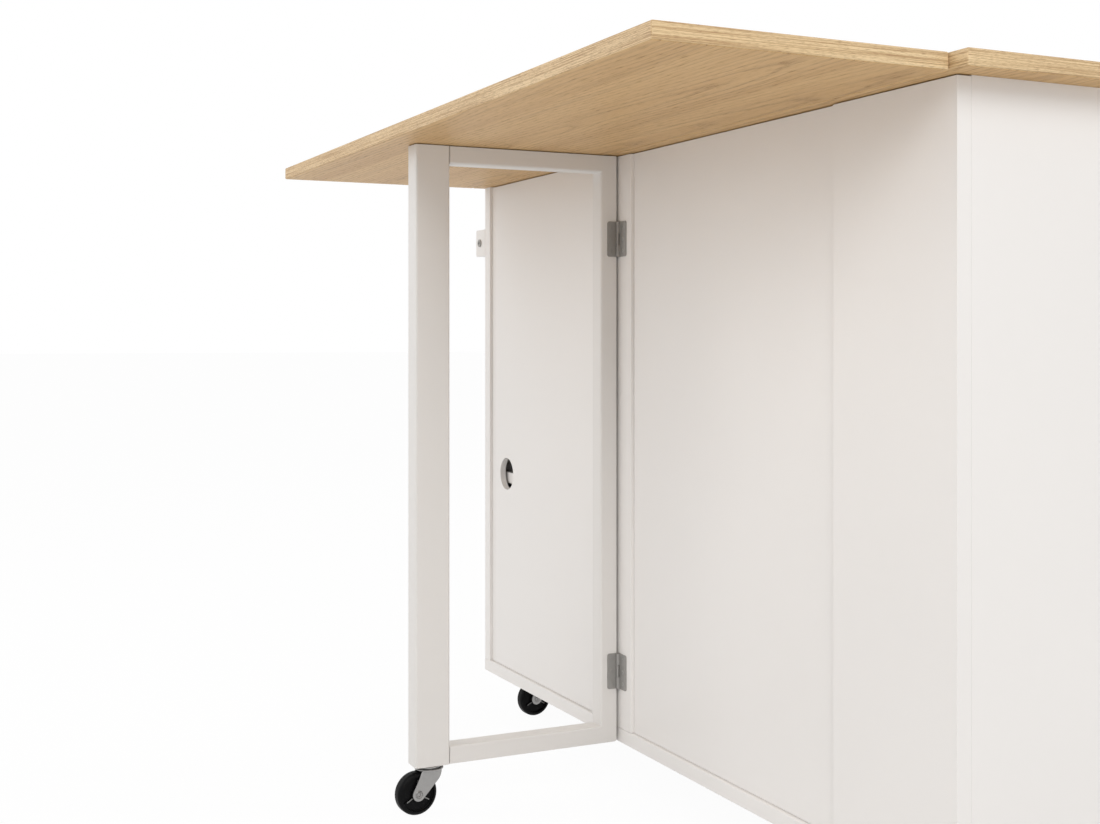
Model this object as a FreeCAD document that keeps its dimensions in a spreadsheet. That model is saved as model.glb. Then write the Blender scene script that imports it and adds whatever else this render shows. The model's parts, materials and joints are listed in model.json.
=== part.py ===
import FreeCAD, Part
import math
import os
from types import SimpleNamespace

import Sketcher

# A rolling kitchen table: a storage cabinet with two drawers and three doors, an oak top, and a
# raised oak leaf at the back that rests on a swing-out gate leg with a caster of its own.
#
# Millimetres, +Z up, the floor at Z = 0. The doors face -Y and the leaf reaches out to +Y.
# Layout values are measured from the middle of the cabinet's back plane; place() then moves
# every piece so that the origin lies under the middle of the whole table.

SIZES = {
    # worktop and leaf
    "top_height": 914,
    "top_thick": 18,
    "top_depth": 450,
    "top_beyond_right": 12,
    "top_beyond_left": 36,
    "top_beyond_back": 18,
    "leaf_width": 330,
    "leaf_seam": 0.5,
    "leaf_beyond_right": 12,
    "leaf_beyond_left": 10,
    "top_round": 2.5,
    # concealed hinges in the seam between top and leaf
    "mortise_length": 54,
    "mortise_height": 11,
    "mortise_depth": 20,
    "mortise_inset": 150,
    "seat_play": 0.2,
    "link_length": 24,
    "link_thick": 5,
    "link_reach": 12,
    # cabinet
    "cabinet_length": 1190,
    "cabinet_depth": 414,
    "base_height": 64,
    "side_thick": 22,
    "bottom_thick": 20,
    "board_thick": 18,
    "board_round": 1.5,
    "stile_middle": 130.5,
    "stile_width": 121,
    "end_board_width": 200,
    "panel_thick": 10,
    "panel_recess": 5,
    "groove_depth": 8,
    "groove_play": 0.3,
    "rail_width": 60,
    "cable_hole_radius": 26.5,
    "cable_hole_inset": 82,
    "cable_hole_height": 409,
    "shelf_gap": 0.5,
    "shelf_front_gap": 22,
    "shelf_pin_radius": 2.5,
    "shelf_pin_length": 16,
    "pin_inset": 40,
    # drawers
    "drawer_opening": 144,
    "front_gap": 2.5,
    "front_thick": 18,
    "drawer_wall": 12,
    "drawer_floor": 6,
    "drawer_floor_rise": 8,
    "drawer_box_height": 110,
    "drawer_room_behind": 28,
    "runner_height": 45,
    "runner_room": 13,
    "runner_sheet": 1.2,
    "runner_play": 0.3,
    # doors and pulls
    "door_frame": 58,
    "door_recess": 6,
    "front_round": 1.5,
    "pull_spacing": 128,
    "pull_thick": 9,
    "pull_reach": 28,
    "pull_inset": 32,
    "pull_drop": 130,
    # towel rack on the right-hand side
    "rack_reach": 40,
    "rack_thick": 18,
    "rack_height": 46,
    "rack_drop": 71,
    "rack_inset": 15,
    "rack_round": 4,
    "bar_radius": 7,
    "bar_out": 22,
    "bar_depth": 8,
    # gate leg
    "gate_side_x": 106.5,
    "gate_gap": 3,
    "gate_rest_gap": 1,
    "gate_ground": 64.5,
    "gate_rail_thick": 28,
    "gate_post_proud": 2,
    "gate_post_width": 49,
    "gate_hinge_post": 25,
    "gate_rail_height": 24,
    "gate_window": 229,
    "gate_round": 3.5,
    # butt hinges
    "hinge_height": 50,
    "hinge_corner": 3,
    "pin_play": 0.05,
    "knuckle_play": 0.25,
    "gate_hinge_offset": 3,
    "gate_hinge_sheet": 1.5,
    "gate_knuckle": 2.8,
    "gate_hinge_pin": 1.5,
    "gate_leaf_fixed": 21,
    "gate_leaf_moving": 15,
    "gate_hinge_drop": 119,
    "gate_hinge_rise": 81,
    "door_hinge_sheet": 1,
    "door_knuckle": 2.6,
    "door_barrel_gap": 0.3,
    "door_hinge_pin": 1.3,
    "door_leaf": 13,
    "door_hinge_inset": 80,
    # casters
    "caster_inset_end": 83,
    "caster_inset_side": 73,
    "caster_trail": 19.5,
    "caster_yaw": 95,
    "wheel_radius": 28.5,
    "wheel_width": 18,
    "hub_radius": 8.5,
    "hub_play": 0.4,
    "rim_radius": 23,
    "web_width": 10,
    "rib_thick": 1.6,
    "axle_radius": 3,
    "axle_head": 5.5,
    "axle_head_thick": 1.4,
    "fork_sheet": 1.8,
    "fork_front": 14,
    "fork_back": 13,
    "fork_end_radius": 9,
    "fork_shoulder": 11,
    "fork_bend": 3,
    "crown_radius": 19.4,
    "race_radius": 16.5,
    "race_play": 0.3,
    "race_thick": 3.2,
    "kingpin_radius": 4,
    "kingpin_head": 7,
    "kingpin_head_thick": 1.2,
    "stem_radius": 4,
    "stem_length": 17,
    "stem_end_play": 1,
    # wood screws
    "screw_radius": 1.6,
    "screw_head": 3,
    "screw_head_thick": 1.2,
    "screw_length": 14,
    "screw_play": 0.1,
}


class Size:
    """A length together with the sheet formula that gives it, so sums of sizes stay bound."""

    def __init__(self, value, formula):
        self.value = value
        self.formula = formula

    def joined(self, other, value, sign):
        return Size(value, f"({self.formula} {sign} {other.formula})")

    def __add__(self, other):
        other = sized(other)
        return self.joined(other, self.value + other.value, "+")

    def __radd__(self, other):
        return sized(other) + self

    def __sub__(self, other):
        other = sized(other)
        return self.joined(other, self.value - other.value, "-")

    def __rsub__(self, other):
        return sized(other) - self

    def __mul__(self, other):
        other = sized(other)
        return self.joined(other, self.value * other.value, "*")

    def __rmul__(self, other):
        return sized(other) * self

    def __truediv__(self, other):
        other = sized(other)
        return self.joined(other, self.value / other.value, "/")

    def __neg__(self):
        return sized(0) - self


def sized(number):
    return number if isinstance(number, Size) else Size(float(number), f"{number}")


doc = FreeCAD.newDocument("KitchenTable")
sheet = doc.addObject("Spreadsheet::Sheet", "Sizes")
for row, (name, number) in enumerate(SIZES.items(), start=1):
    sheet.set(f"A{row}", name.replace("_", " "))
    sheet.set(f"B{row}", f"{number}")
    sheet.setAlias(f"B{row}", name)
doc.recompute()
S = SimpleNamespace(**{name: Size(float(n), f"Sizes.{name}") for name, n in SIZES.items()})

# ---- places worked out from the sizes ---------------------------------------------------------

half_length = S.cabinet_length / 2
under_top = S.top_height - S.top_thick
floor_of_cabinet = S.base_height + S.bottom_thick
inner_right = half_length - S.side_thick
inner_left = -inner_right
front_y = -S.cabinet_depth
back_of_fronts = front_y + S.front_thick
divider_left = S.stile_middle - S.board_thick / 2
divider_right = S.stile_middle + S.board_thick / 2
stile_left = S.stile_middle - S.stile_width / 2
stile_right = S.stile_middle + S.stile_width / 2
end_board_right = S.end_board_width - half_length
panel_back = -S.panel_recess - S.panel_thick
top_rail_bottom = under_top - S.board_thick
drawer_rail_top = top_rail_bottom - S.drawer_opening
drawer_rail_bottom = drawer_rail_top - S.board_thick
leaf_edge_y = S.top_beyond_back + S.leaf_seam + S.leaf_width
gate_axis_x = S.gate_side_x - S.gate_hinge_offset
gate_axis_y = S.gate_hinge_offset
gate_middle_x = S.gate_side_x + S.gate_rail_thick / 2
gate_top = under_top - S.gate_rest_gap
gate_window_y = S.gate_gap + S.gate_hinge_post
gate_post_y = gate_window_y + S.gate_window
door_hinge_offset = S.front_gap / 2
door_axis_y = front_y - S.door_knuckle - S.door_barrel_gap

caster_x = half_length - S.caster_inset_end
caster_back_y = -S.caster_inset_side
caster_front_y = front_y + S.caster_inset_side
gate_caster_y = gate_post_y + S.gate_post_width / 2
cabinet_casters = {
    "back_right": (caster_x, caster_back_y),
    "back_left": (-caster_x, caster_back_y),
    "front_right": (caster_x, caster_front_y),
    "front_left": (-caster_x, caster_front_y),
}

middle_x = (S.rack_reach - S.top_beyond_left) / 2
middle_y = (leaf_edge_y - S.cabinet_depth - S.pull_reach) / 2


# Screws, their holes and the shelf pins repeat often, so they have eight flats in place of a round.
FACETS = 8
FACET_TURNS = [2 * math.pi * step / FACETS for step in range(FACETS)]


# ---- document helpers -------------------------------------------------------------------------

exported = []


def bind(item, path, size):
    item.setExpression(path, sized(size).formula)


def place(item, x, y, z, angle=0, axis=(0, 0, 1)):
    """Puts an object at a cabinet place, turned about its own axis, bound to the sheet."""
    turn = FreeCAD.Rotation(FreeCAD.Vector(*axis), sized(angle).value)
    item.Placement = FreeCAD.Placement(FreeCAD.Vector(0, 0, 0), turn)
    bind(item, "Placement.Base.x", sized(x) - middle_x)
    bind(item, "Placement.Base.y", sized(y) - middle_y)
    bind(item, "Placement.Base.z", z)
    return item


def new_body(label, x=None, y=None, z=None, angle=0, axis=(0, 0, 1), node=True):
    body = doc.addObject("PartDesign::Body", label)
    body.Label = label
    body.AllowCompound = True
    if x is not None:
        place(body, x, y, z, angle, axis)
    if node:
        exported.append(body)
    return body


def group(label, members):
    """One node that holds several separate solids."""
    compound = doc.addObject("Part::Compound", label)
    compound.Label = label
    compound.Links = members
    exported.append(compound)
    return compound


def origin_plane(body, role):
    return next(f for f in body.Origin.OriginFeatures if f.Role == role)


class Profile:
    """A sketch on an origin plane of its body. Every point is dimensioned from the origin."""

    def __init__(self, body, plane="XY_Plane", offset=0):
        self.sketch = body.newObject("Sketcher::SketchObject", body.Label + "_profile")
        self.sketch.AttachmentSupport = [(origin_plane(body, plane), "")]
        self.sketch.MapMode = "FlatFace"
        bind(self.sketch, "AttachmentOffset.Base.z", offset)
        self.count = 0

    def dimension(self, kind, *where_and_size):
        *where, size = where_and_size
        name = f"{kind}_{self.count}"
        self.count += 1
        index = self.sketch.addConstraint(Sketcher.Constraint(kind, *where, size.value))
        self.sketch.renameConstraint(index, name)
        bind(self.sketch, f"Constraints.{name}", size)

    def fix(self, item, end, x, y):
        self.dimension("DistanceX", -1, 1, item, end, sized(x))
        self.dimension("DistanceY", -1, 1, item, end, sized(y))

    def outline(self, points, closed=True):
        """Straight lines through the points."""
        points = [(sized(x), sized(y)) for x, y in points]
        ends = points[1:] + points[:1] if closed else points[1:]
        lines = []
        for (x1, y1), (x2, y2) in zip(points, ends):
            start = FreeCAD.Vector(x1.value, y1.value, 0)
            stop = FreeCAD.Vector(x2.value, y2.value, 0)
            lines.append(self.sketch.addGeometry(Part.LineSegment(start, stop), False))
        for first, second in zip(lines, lines[1:]):
            self.sketch.addConstraint(Sketcher.Constraint("Coincident", first, 2, second, 1))
        if closed:
            self.sketch.addConstraint(
                Sketcher.Constraint("Coincident", lines[-1], 2, lines[0], 1)
            )
        for line, (x, y) in zip(lines, points):
            self.fix(line, 1, x, y)
        if not closed:
            self.fix(lines[-1], 2, *points[-1])
        return self

    def rectangle(self, x, y, width, height):
        x, y = sized(x), sized(y)
        far_x, far_y = x + width, y + height
        return self.outline([(x, y), (far_x, y), (far_x, far_y), (x, far_y)])

    def middle_rectangle(self, x, y, width, height):
        return self.rectangle(sized(x) - width / 2, sized(y) - height / 2, width, height)

    def small_hole(self, x, y, radius):
        """A hole for a screw, as an eight-sided outline inside the given radius."""
        corners = [(math.cos(turn), math.sin(turn)) for turn in FACET_TURNS]
        return self.outline([(sized(x) + c * radius, sized(y) + s * radius) for c, s in corners])

    def circle(self, x, y, radius):
        x, y = sized(x), sized(y)
        centre = FreeCAD.Vector(x.value, y.value, 0)
        ring = Part.Circle(centre, FreeCAD.Vector(0, 0, 1), radius.value)
        index = self.sketch.addGeometry(ring, False)
        self.fix(index, 3, x, y)
        self.dimension("Radius", index, radius)
        return self


def pad(body, profile, length, midplane=False, reverse=False):
    feature = body.newObject("PartDesign::Pad", body.Label + "_pad")
    feature.Profile = profile.sketch
    feature.Midplane = midplane
    feature.Reversed = reverse
    bind(feature, "Length", length)
    body.Tip = feature
    doc.recompute()
    return feature


def pocket(body, profile, length=None, reverse=False):
    """Cuts against the sketch's normal by a length, or both ways right through."""
    feature = body.newObject("PartDesign::Pocket", body.Label + "_pocket")
    feature.Profile = profile.sketch
    if length is None:
        feature.Type = "ThroughAll"
        feature.Midplane = True
    else:
        feature.Reversed = reverse
        bind(feature, "Length", length)
    body.Tip = feature
    doc.recompute()
    return feature


def revolve(body, profile, axis):
    feature = body.newObject("PartDesign::Revolution", body.Label + "_turned")
    feature.Profile = profile.sketch
    feature.ReferenceAxis = (profile.sketch, [axis])
    feature.Angle = 360
    body.Tip = feature
    doc.recompute()
    return feature


def runs_along(edge, direction):
    """True for a straight edge parallel to the direction."""
    if edge.Curve.TypeId != "Part::GeomLine":
        return False
    return abs(abs(edge.tangentAt(edge.FirstParameter).dot(direction)) - 1) < 1e-6


ALONG_X = FreeCAD.Vector(1, 0, 0)
ALONG_Y = FreeCAD.Vector(0, 1, 0)
ALONG_Z = FreeCAD.Vector(0, 0, 1)


def middle_of(edge):
    return edge.valueAt((edge.FirstParameter + edge.LastParameter) / 2)


def on_level(edge, direction, level):
    """True where the edge's middle lies at the level along the direction."""
    return abs(middle_of(edge).dot(direction) - sized(level).value) < 1e-4


def fillet(body, radius, wanted):
    """Rounds the edges of the body's last feature that the test picks, in body coordinates."""
    base = body.Tip
    names = [f"Edge{n}" for n, edge in enumerate(base.Shape.Edges, start=1) if wanted(edge)]
    feature = body.newObject("PartDesign::Fillet", body.Label + "_round")
    feature.Base = (base, names)
    bind(feature, "Radius", radius)
    body.Tip = feature
    doc.recompute()
    return feature


def board(label, x, y, z, length, depth, height, node=True):
    """A board with its corner of least X, Y and Z at the given place."""
    body = new_body(label, x, y, z, node=node)
    pad(body, Profile(body).rectangle(0, 0, length, depth), height)
    return body


def stem_bores(body, places):
    """Blind bores in the underside for the stems of casters."""
    bores = Profile(body)
    for x, y in places:
        bores.circle(x, y, S.stem_radius + S.pin_play)
    pocket(body, bores, S.stem_length + S.stem_end_play, reverse=True)


# ---- oak top and leaf -------------------------------------------------------------------------

top_left = -half_length - S.top_beyond_left
top_length = S.cabinet_length + S.top_beyond_left + S.top_beyond_right
top_front = S.top_beyond_back - S.top_depth
leaf_left = -half_length - S.leaf_beyond_left
leaf_length = S.cabinet_length + S.leaf_beyond_left + S.leaf_beyond_right
leaf_back = S.top_beyond_back + S.leaf_seam
seam_hinge_x = (
    leaf_left + S.mortise_inset,
    leaf_left + leaf_length / 2,
    leaf_left + leaf_length - S.mortise_inset,
)


def oak_board(label, left, edge_y, length, width, seam_edge_y):
    """A board rounded on its long and end edges, with three mortises in the seam edge."""
    body = board(label, left, edge_y, under_top, length, width, S.top_thick)
    fillet(body, S.top_round, lambda edge: not runs_along(edge, ALONG_Z))
    faces_leaf = seam_edge_y is not edge_y
    profile = Profile(body, "XZ_Plane", -width if faces_leaf else 0)
    for x in seam_hinge_x:
        profile.middle_rectangle(x - left, S.top_thick / 2, S.mortise_length, S.mortise_height)
    pocket(body, profile, S.mortise_depth, reverse=faces_leaf)
    return body


oak_board("main_top", top_left, top_front, top_length, S.top_depth, S.top_beyond_back)
oak_board("drop_leaf", leaf_left, leaf_back, leaf_length, S.leaf_width, leaf_back)


def seam_housing(x, seam_y, towards_leaf):
    """A zinc housing in its mortise, slotted for the link that crosses the seam."""
    body = new_body("seam_housing", x, seam_y, under_top + S.top_thick / 2, node=False)
    deep = S.mortise_depth - S.seat_play
    start = 0 if towards_leaf else -deep
    profile = Profile(body, "XY_Plane", -(S.mortise_height / 2 - S.seat_play))
    profile.rectangle(S.seat_play - S.mortise_length / 2, start,
                      S.mortise_length - 2 * S.seat_play, deep)
    pad(body, profile, S.mortise_height - 2 * S.seat_play)
    slot = Profile(body, "XY_Plane", -(S.link_thick / 2 + S.seat_play))
    slot_deep = S.link_reach + 2 * S.seat_play
    slot_start = 0 if towards_leaf else -slot_deep
    slot.rectangle(-S.link_length / 2 - S.seat_play, slot_start,
                   S.link_length + 2 * S.seat_play, slot_deep)
    pocket(body, slot, S.link_thick + 2 * S.seat_play, reverse=True)
    return body


def seam_link(x):
    """The folding link of a concealed hinge, which crosses the seam."""
    seam_middle = S.top_beyond_back + S.leaf_seam / 2
    body = new_body("seam_link", x, seam_middle, under_top + S.top_thick / 2, node=False)
    profile = Profile(body, "XY_Plane", -S.link_thick / 2)
    profile.middle_rectangle(0, 0, S.link_length, 2 * S.link_reach)
    pad(body, profile, S.link_thick)
    return body


group("leaf_hinge_housings_top",
      [seam_housing(x, S.top_beyond_back, False) for x in seam_hinge_x])
group("leaf_hinge_housings_leaf", [seam_housing(x, leaf_back, True) for x in seam_hinge_x])
group("leaf_hinge_links", [seam_link(x) for x in seam_hinge_x])


# ---- cabinet boards ---------------------------------------------------------------------------

wall_height = under_top - floor_of_cabinet
groove_width = S.panel_thick + S.groove_play


def grooved(body, board_y, x, depth):
    """
    Cuts the groove that holds a back panel's edge, all the way up a board that starts at
    board_y, from the board's own x over the depth.
    """
    groove_front = -S.panel_recess - groove_width
    profile = Profile(body, "XY_Plane", wall_height)
    profile.rectangle(x, groove_front - board_y, depth, groove_width)
    pocket(body, profile, wall_height)


bottom_board = board("bottom_board", -half_length, front_y, S.base_height,
                     S.cabinet_length, S.cabinet_depth, S.bottom_thick)
fillet(bottom_board, S.board_round, lambda edge: not runs_along(edge, ALONG_Z))
stem_bores(bottom_board, [(x + half_length, y - front_y) for x, y in cabinet_casters.values()])

right_side = board("right_side", inner_right, front_y, floor_of_cabinet,
                   S.side_thick, S.cabinet_depth, wall_height)
fillet(right_side, S.board_round,
       lambda edge: runs_along(edge, ALONG_Z) and on_level(edge, ALONG_X, S.side_thick))
grooved(right_side, front_y, 0, S.groove_depth)

left_side = board("left_side", -half_length, front_y, floor_of_cabinet,
                  S.side_thick, S.cabinet_depth - S.board_thick, wall_height)
fillet(left_side, S.board_round,
       lambda edge: runs_along(edge, ALONG_Z) and on_level(edge, ALONG_Y, 0))

back_stile = board("back_stile", stile_left, -S.board_thick, floor_of_cabinet,
                   S.stile_width, S.board_thick, wall_height)
fillet(back_stile, S.board_round,
       lambda edge: runs_along(edge, ALONG_Z) and on_level(edge, ALONG_Y, S.board_thick))
grooved(back_stile, -S.board_thick, 0, S.groove_depth)
grooved(back_stile, -S.board_thick, S.stile_width - S.groove_depth, S.groove_depth)

back_end_board = board("back_end_board", -half_length, -S.board_thick, floor_of_cabinet,
                       S.end_board_width, S.board_thick, wall_height)
fillet(back_end_board, S.board_round,
       lambda edge: runs_along(edge, ALONG_Z) and on_level(edge, ALONG_Y, S.board_thick))
grooved(back_end_board, -S.board_thick, S.end_board_width - S.groove_depth, S.groove_depth)


def back_panel(label, left, right):
    """A thin panel whose upright edges sit in the grooves of the boards beside it."""
    tongue = S.groove_depth - S.groove_play
    return board(label, left - tongue, panel_back, floor_of_cabinet,
                 right - left + 2 * tongue, S.panel_thick, wall_height)


back_panel("back_panel_left", end_board_right, stile_left)
cable_panel = back_panel("back_panel_right", stile_right, inner_right)
tongue_left = stile_right - S.groove_depth + S.groove_play
cable_x = half_length - S.cable_hole_inset - tongue_left
cable_z = S.cable_hole_height - floor_of_cabinet
cable_hole = Profile(cable_panel, "XZ_Plane", -S.panel_thick)
cable_hole.circle(cable_x, cable_z, S.cable_hole_radius)
pocket(cable_panel, cable_hole)

divider = board("divider", divider_left, front_y, floor_of_cabinet,
                S.board_thick, S.cabinet_depth - S.board_thick,
                top_rail_bottom - floor_of_cabinet)

rail_length = inner_right - inner_left
group("top_rails", [
    board("top_rail", inner_left, y, top_rail_bottom,
          rail_length, S.rail_width, S.board_thick, node=False)
    for y in (front_y, -S.board_thick - S.rail_width)])

BAYS = {
    "wide": (inner_left, divider_left),
    "narrow": (divider_right, inner_right),
}

shelf_top = S.cable_hole_height
shelf_back = -S.board_thick - S.shelf_gap
shelf_front = back_of_fronts + S.shelf_front_gap
pin_height = shelf_top - S.board_thick - S.shelf_pin_radius


def shelf_pin(x, y):
    """A steel pin half in the board and half under the shelf."""
    pin = doc.addObject("Part::Prism", "shelf_pin")
    pin.Polygon = FACETS
    bind(pin, "Circumradius", S.shelf_pin_radius)
    bind(pin, "Height", S.shelf_pin_length)
    return place(pin, sized(x) - S.shelf_pin_length / 2, y, pin_height, 90, (0, 1, 0))


pins = []
for bay, (left, right) in BAYS.items():
    board(f"drawer_rail_{bay}", left, front_y, drawer_rail_bottom,
          right - left, S.rail_width, S.board_thick)
    shelf = board(f"shelf_{bay}", left + S.shelf_gap, shelf_front, shelf_top - S.board_thick,
                  right - left - 2 * S.shelf_gap, shelf_back - shelf_front, S.board_thick)
    fillet(shelf, S.board_round,
           lambda edge: runs_along(edge, ALONG_X) and on_level(edge, ALONG_Y, 0))
    for x in (left, right):
        pins += [shelf_pin(x, shelf_back - S.pin_inset), shelf_pin(x, shelf_front + S.pin_inset)]
group("shelf_pins", pins)


# ---- pulls ------------------------------------------------------------------------------------

def bar_pull(label, x, z, upright):
    """A square bar bent to a bow: two feet on the front and a grip that stands clear of it."""
    turn = (90, (0, 1, 0)) if upright else (0, (0, 0, 1))
    body = new_body(label, x, front_y, z, *turn)
    outside = (S.pull_spacing + S.pull_thick) / 2
    inside = outside - S.pull_thick
    grip = S.pull_thick - S.pull_reach
    bow = Profile(body)
    bow.outline([(-outside, 0), (-outside, -S.pull_reach), (outside, -S.pull_reach), (outside, 0),
                 (inside, 0), (inside, grip), (-inside, grip), (-inside, 0)])
    pad(body, bow, S.pull_thick, midplane=True)
    fillet(body, S.front_round,
           lambda edge: runs_along(edge, ALONG_Z) and on_level(edge, ALONG_Y, -S.pull_reach))
    return body


# ---- butt hinges ------------------------------------------------------------------------------

def hinge_leaf(x, y, z, angle, back, own, kind, width, screw_levels, pinned):
    """
    Half a butt hinge, its pin along Z through the body's origin and its plate along +X.
    back is the side of Y that the plate's fixing face is on, own the knuckles it carries out
    of three ("ends" or "middle"), and pinned whether it holds the pin.
    """
    body = new_body("hinge_leaf", x, y, z - S.hinge_height / 2, angle, node=False)
    face = back * kind.offset
    sheet_side = -kind.sheet if back > 0 else 0
    plate = Profile(body)
    plate_start = kind.knuckle + S.knuckle_play
    plate.rectangle(plate_start, face + sheet_side, width - plate_start, kind.sheet)
    pad(body, plate, S.hinge_height)
    if kind.corner:
        fillet(body, kind.corner,
               lambda edge: runs_along(edge, ALONG_Y) and on_level(edge, ALONG_X, width))
    third = S.hinge_height / 3
    gap = S.knuckle_play / 2
    rows = {"ends": ((0, third - gap), (2 * third + gap, S.hinge_height)),
            "middle": ((third + gap, 2 * third - gap),)}[own]
    for low, high in rows:
        neck = Profile(body, "XY_Plane", low)
        neck.rectangle(0, face + sheet_side, plate_start + S.knuckle_play, kind.sheet)
        pad(body, neck, high - low)
        barrel = Profile(body, "XY_Plane", low)
        barrel.circle(0, 0, kind.knuckle)
        pad(body, barrel, high - low)
    if pinned:
        pad(body, Profile(body).circle(0, 0, kind.pin), S.hinge_height)
    else:
        pocket(body, Profile(body).circle(0, 0, kind.pin + S.pin_play))
    if screw_levels:
        holes = Profile(body, "XZ_Plane")
        for level in screw_levels:
            holes.small_hole((plate_start + width) / 2, level, S.screw_radius + S.screw_play)
        pocket(body, holes)
    return body


def screw(x, y, z, angle, axis):
    """A pan-head screw: its head sits on the place and its shank runs along the turned -Z."""
    head = doc.addObject("Part::Prism", "screw_head")
    head.Polygon = FACETS
    bind(head, "Circumradius", S.screw_head)
    bind(head, "Height", S.screw_head_thick)
    shank = doc.addObject("Part::Prism", "screw_shank")
    shank.Polygon = FACETS
    bind(shank, "Circumradius", S.screw_radius)
    bind(shank, "Height", S.screw_length)
    bind(shank, "Placement.Base.z", -S.screw_length)
    whole = doc.addObject("Part::Fuse", "screw")
    whole.Base = head
    whole.Tool = shank
    return place(whole, x, y, z, angle, axis)


gate_kind = SimpleNamespace(offset=S.gate_hinge_offset, sheet=S.gate_hinge_sheet,
                            knuckle=S.gate_knuckle, pin=S.gate_hinge_pin,
                            corner=S.hinge_corner)
door_kind = SimpleNamespace(offset=door_hinge_offset, sheet=S.door_hinge_sheet,
                            knuckle=S.door_knuckle, pin=S.door_hinge_pin, corner=None)
gate_hinge_z = (under_top - S.gate_hinge_drop, floor_of_cabinet + S.gate_hinge_rise)
hinge_screw_levels = [S.hinge_height * part / 6 for part in (1, 3, 5)]

group("gate_hinge_fixed_leaves", [
    hinge_leaf(gate_axis_x, gate_axis_y, z, 180, 1, "ends", gate_kind,
               S.gate_leaf_fixed, hinge_screw_levels, True)
    for z in gate_hinge_z])
group("gate_hinge_moving_leaves", [
    hinge_leaf(gate_axis_x, gate_axis_y, z, 90, -1, "middle", gate_kind,
               S.gate_leaf_moving, hinge_screw_levels, False)
    for z in gate_hinge_z])


# ---- doors ------------------------------------------------------------------------------------

door_low = floor_of_cabinet + S.front_gap
door_high = drawer_rail_bottom - S.front_gap
wide_left, wide_right = BAYS["wide"]
narrow_left, narrow_right = BAYS["narrow"]
double_width = (wide_right - wide_left - 3 * S.front_gap) / 2
DOORS = {
    "left": (wide_left + S.front_gap, double_width, "left"),
    "middle": (wide_right - S.front_gap - double_width, double_width, "right"),
    "right": (narrow_left + S.front_gap, narrow_right - narrow_left - 2 * S.front_gap, "right"),
}


def slab_front(label, x, z, width, height):
    """A slab set flush in its opening, rounded round its face."""
    body = board(label, x, front_y, z, width, S.front_thick, height)
    fillet(body, S.front_round, lambda edge: on_level(edge, ALONG_Y, 0))
    return body


def framed_front(label, x, z, width, height):
    """A slab front with a sunk panel inside a frame."""
    body = slab_front(label, x, z, width, height)
    frame = S.door_frame
    sunk = Profile(body, "XZ_Plane")
    sunk.rectangle(frame, frame, width - 2 * frame, height - 2 * frame)
    pocket(body, sunk, S.door_recess)
    return body


fixed_door_leaves = []
for side, (x, width, hung) in DOORS.items():
    framed_front(f"door_{side}", x, door_low, width, door_high - door_low)
    on_left = hung == "left"
    hinge_x = x - door_hinge_offset if on_left else x + width + door_hinge_offset
    levels = (door_low + S.door_hinge_inset, door_high - S.door_hinge_inset)
    fixed_back, moving_back = (1, -1) if on_left else (-1, 1)
    fixed_door_leaves += [
        hinge_leaf(hinge_x, door_axis_y, z, 90, fixed_back, "ends", door_kind,
                   S.door_leaf, (), True)
        for z in levels]
    group(f"door_{side}_hinge_leaves", [
        hinge_leaf(hinge_x, door_axis_y, z, 90, moving_back, "middle", door_kind,
                   S.door_leaf, (), False)
        for z in levels])
    pull_x = x + width - S.pull_inset if on_left else x + S.pull_inset
    bar_pull(f"door_{side}_pull", pull_x, door_high - S.pull_drop, True)
group("door_hinge_fixed_leaves", fixed_door_leaves)


# ---- drawers ----------------------------------------------------------------------------------

runner_z = drawer_rail_top + S.drawer_opening / 2
box_low = runner_z - S.drawer_box_height / 2
box_front = back_of_fronts
box_depth = -S.board_thick - S.drawer_room_behind - box_front
runner_inner = S.runner_height / 2 - S.runner_sheet


def runner(x, mirrored, high, web_x, web_towards):
    """A pressed channel along Y. The web stands at web_x and the flanges point the other way."""
    body = new_body("runner", x, box_front + box_depth, runner_z, node=False)
    sign = -1 if mirrored else 1
    reach = S.runner_room - 3 * S.runner_sheet
    web_far = web_x + web_towards * S.runner_sheet
    tip = web_x + web_towards * reach
    points = [
        (web_x, -high), (tip, -high), (tip, S.runner_sheet - high), (web_far, S.runner_sheet - high),
        (web_far, high - S.runner_sheet), (tip, high - S.runner_sheet), (tip, high), (web_x, high),
    ]
    profile = Profile(body, "XZ_Plane")
    profile.outline([(sign * px, pz) for px, pz in points])
    pad(body, profile, box_depth)
    return body


cabinet_runners = []
for bay, (left, right) in BAYS.items():
    slab_front(f"drawer_{bay}_front", left + S.front_gap, drawer_rail_top + S.front_gap,
               right - left - 2 * S.front_gap, S.drawer_opening - 2 * S.front_gap)
    bar_pull(f"drawer_{bay}_pull", (left + right) / 2, runner_z, False)
    box_left = left + S.runner_room
    box_width = right - left - 2 * S.runner_room
    box = board(f"drawer_{bay}_box", box_left, box_front, box_low,
                box_width, box_depth, S.drawer_box_height)
    hollow = Profile(box, "XY_Plane", S.drawer_box_height)
    hollow.rectangle(S.drawer_wall, S.drawer_wall, box_width - 2 * S.drawer_wall,
                     box_depth - 2 * S.drawer_wall)
    pocket(box, hollow, S.drawer_box_height - S.drawer_floor_rise - S.drawer_floor)
    under = Profile(box)
    under.rectangle(S.drawer_wall, S.drawer_wall, box_width - 2 * S.drawer_wall,
                    box_depth - 2 * S.drawer_wall)
    pocket(box, under, S.drawer_floor_rise, reverse=True)
    drawer_runners = []
    for x, mirrored in ((left, False), (right, True)):
        cabinet_runners.append(runner(x, mirrored, S.runner_height / 2, sized(0), 1))
        drawer_runners.append(
            runner(x, mirrored, runner_inner - S.runner_play, S.runner_room, -1))
    group(f"drawer_{bay}_runners", drawer_runners)
group("cabinet_runners", cabinet_runners)


# ---- towel rack -------------------------------------------------------------------------------

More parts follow.
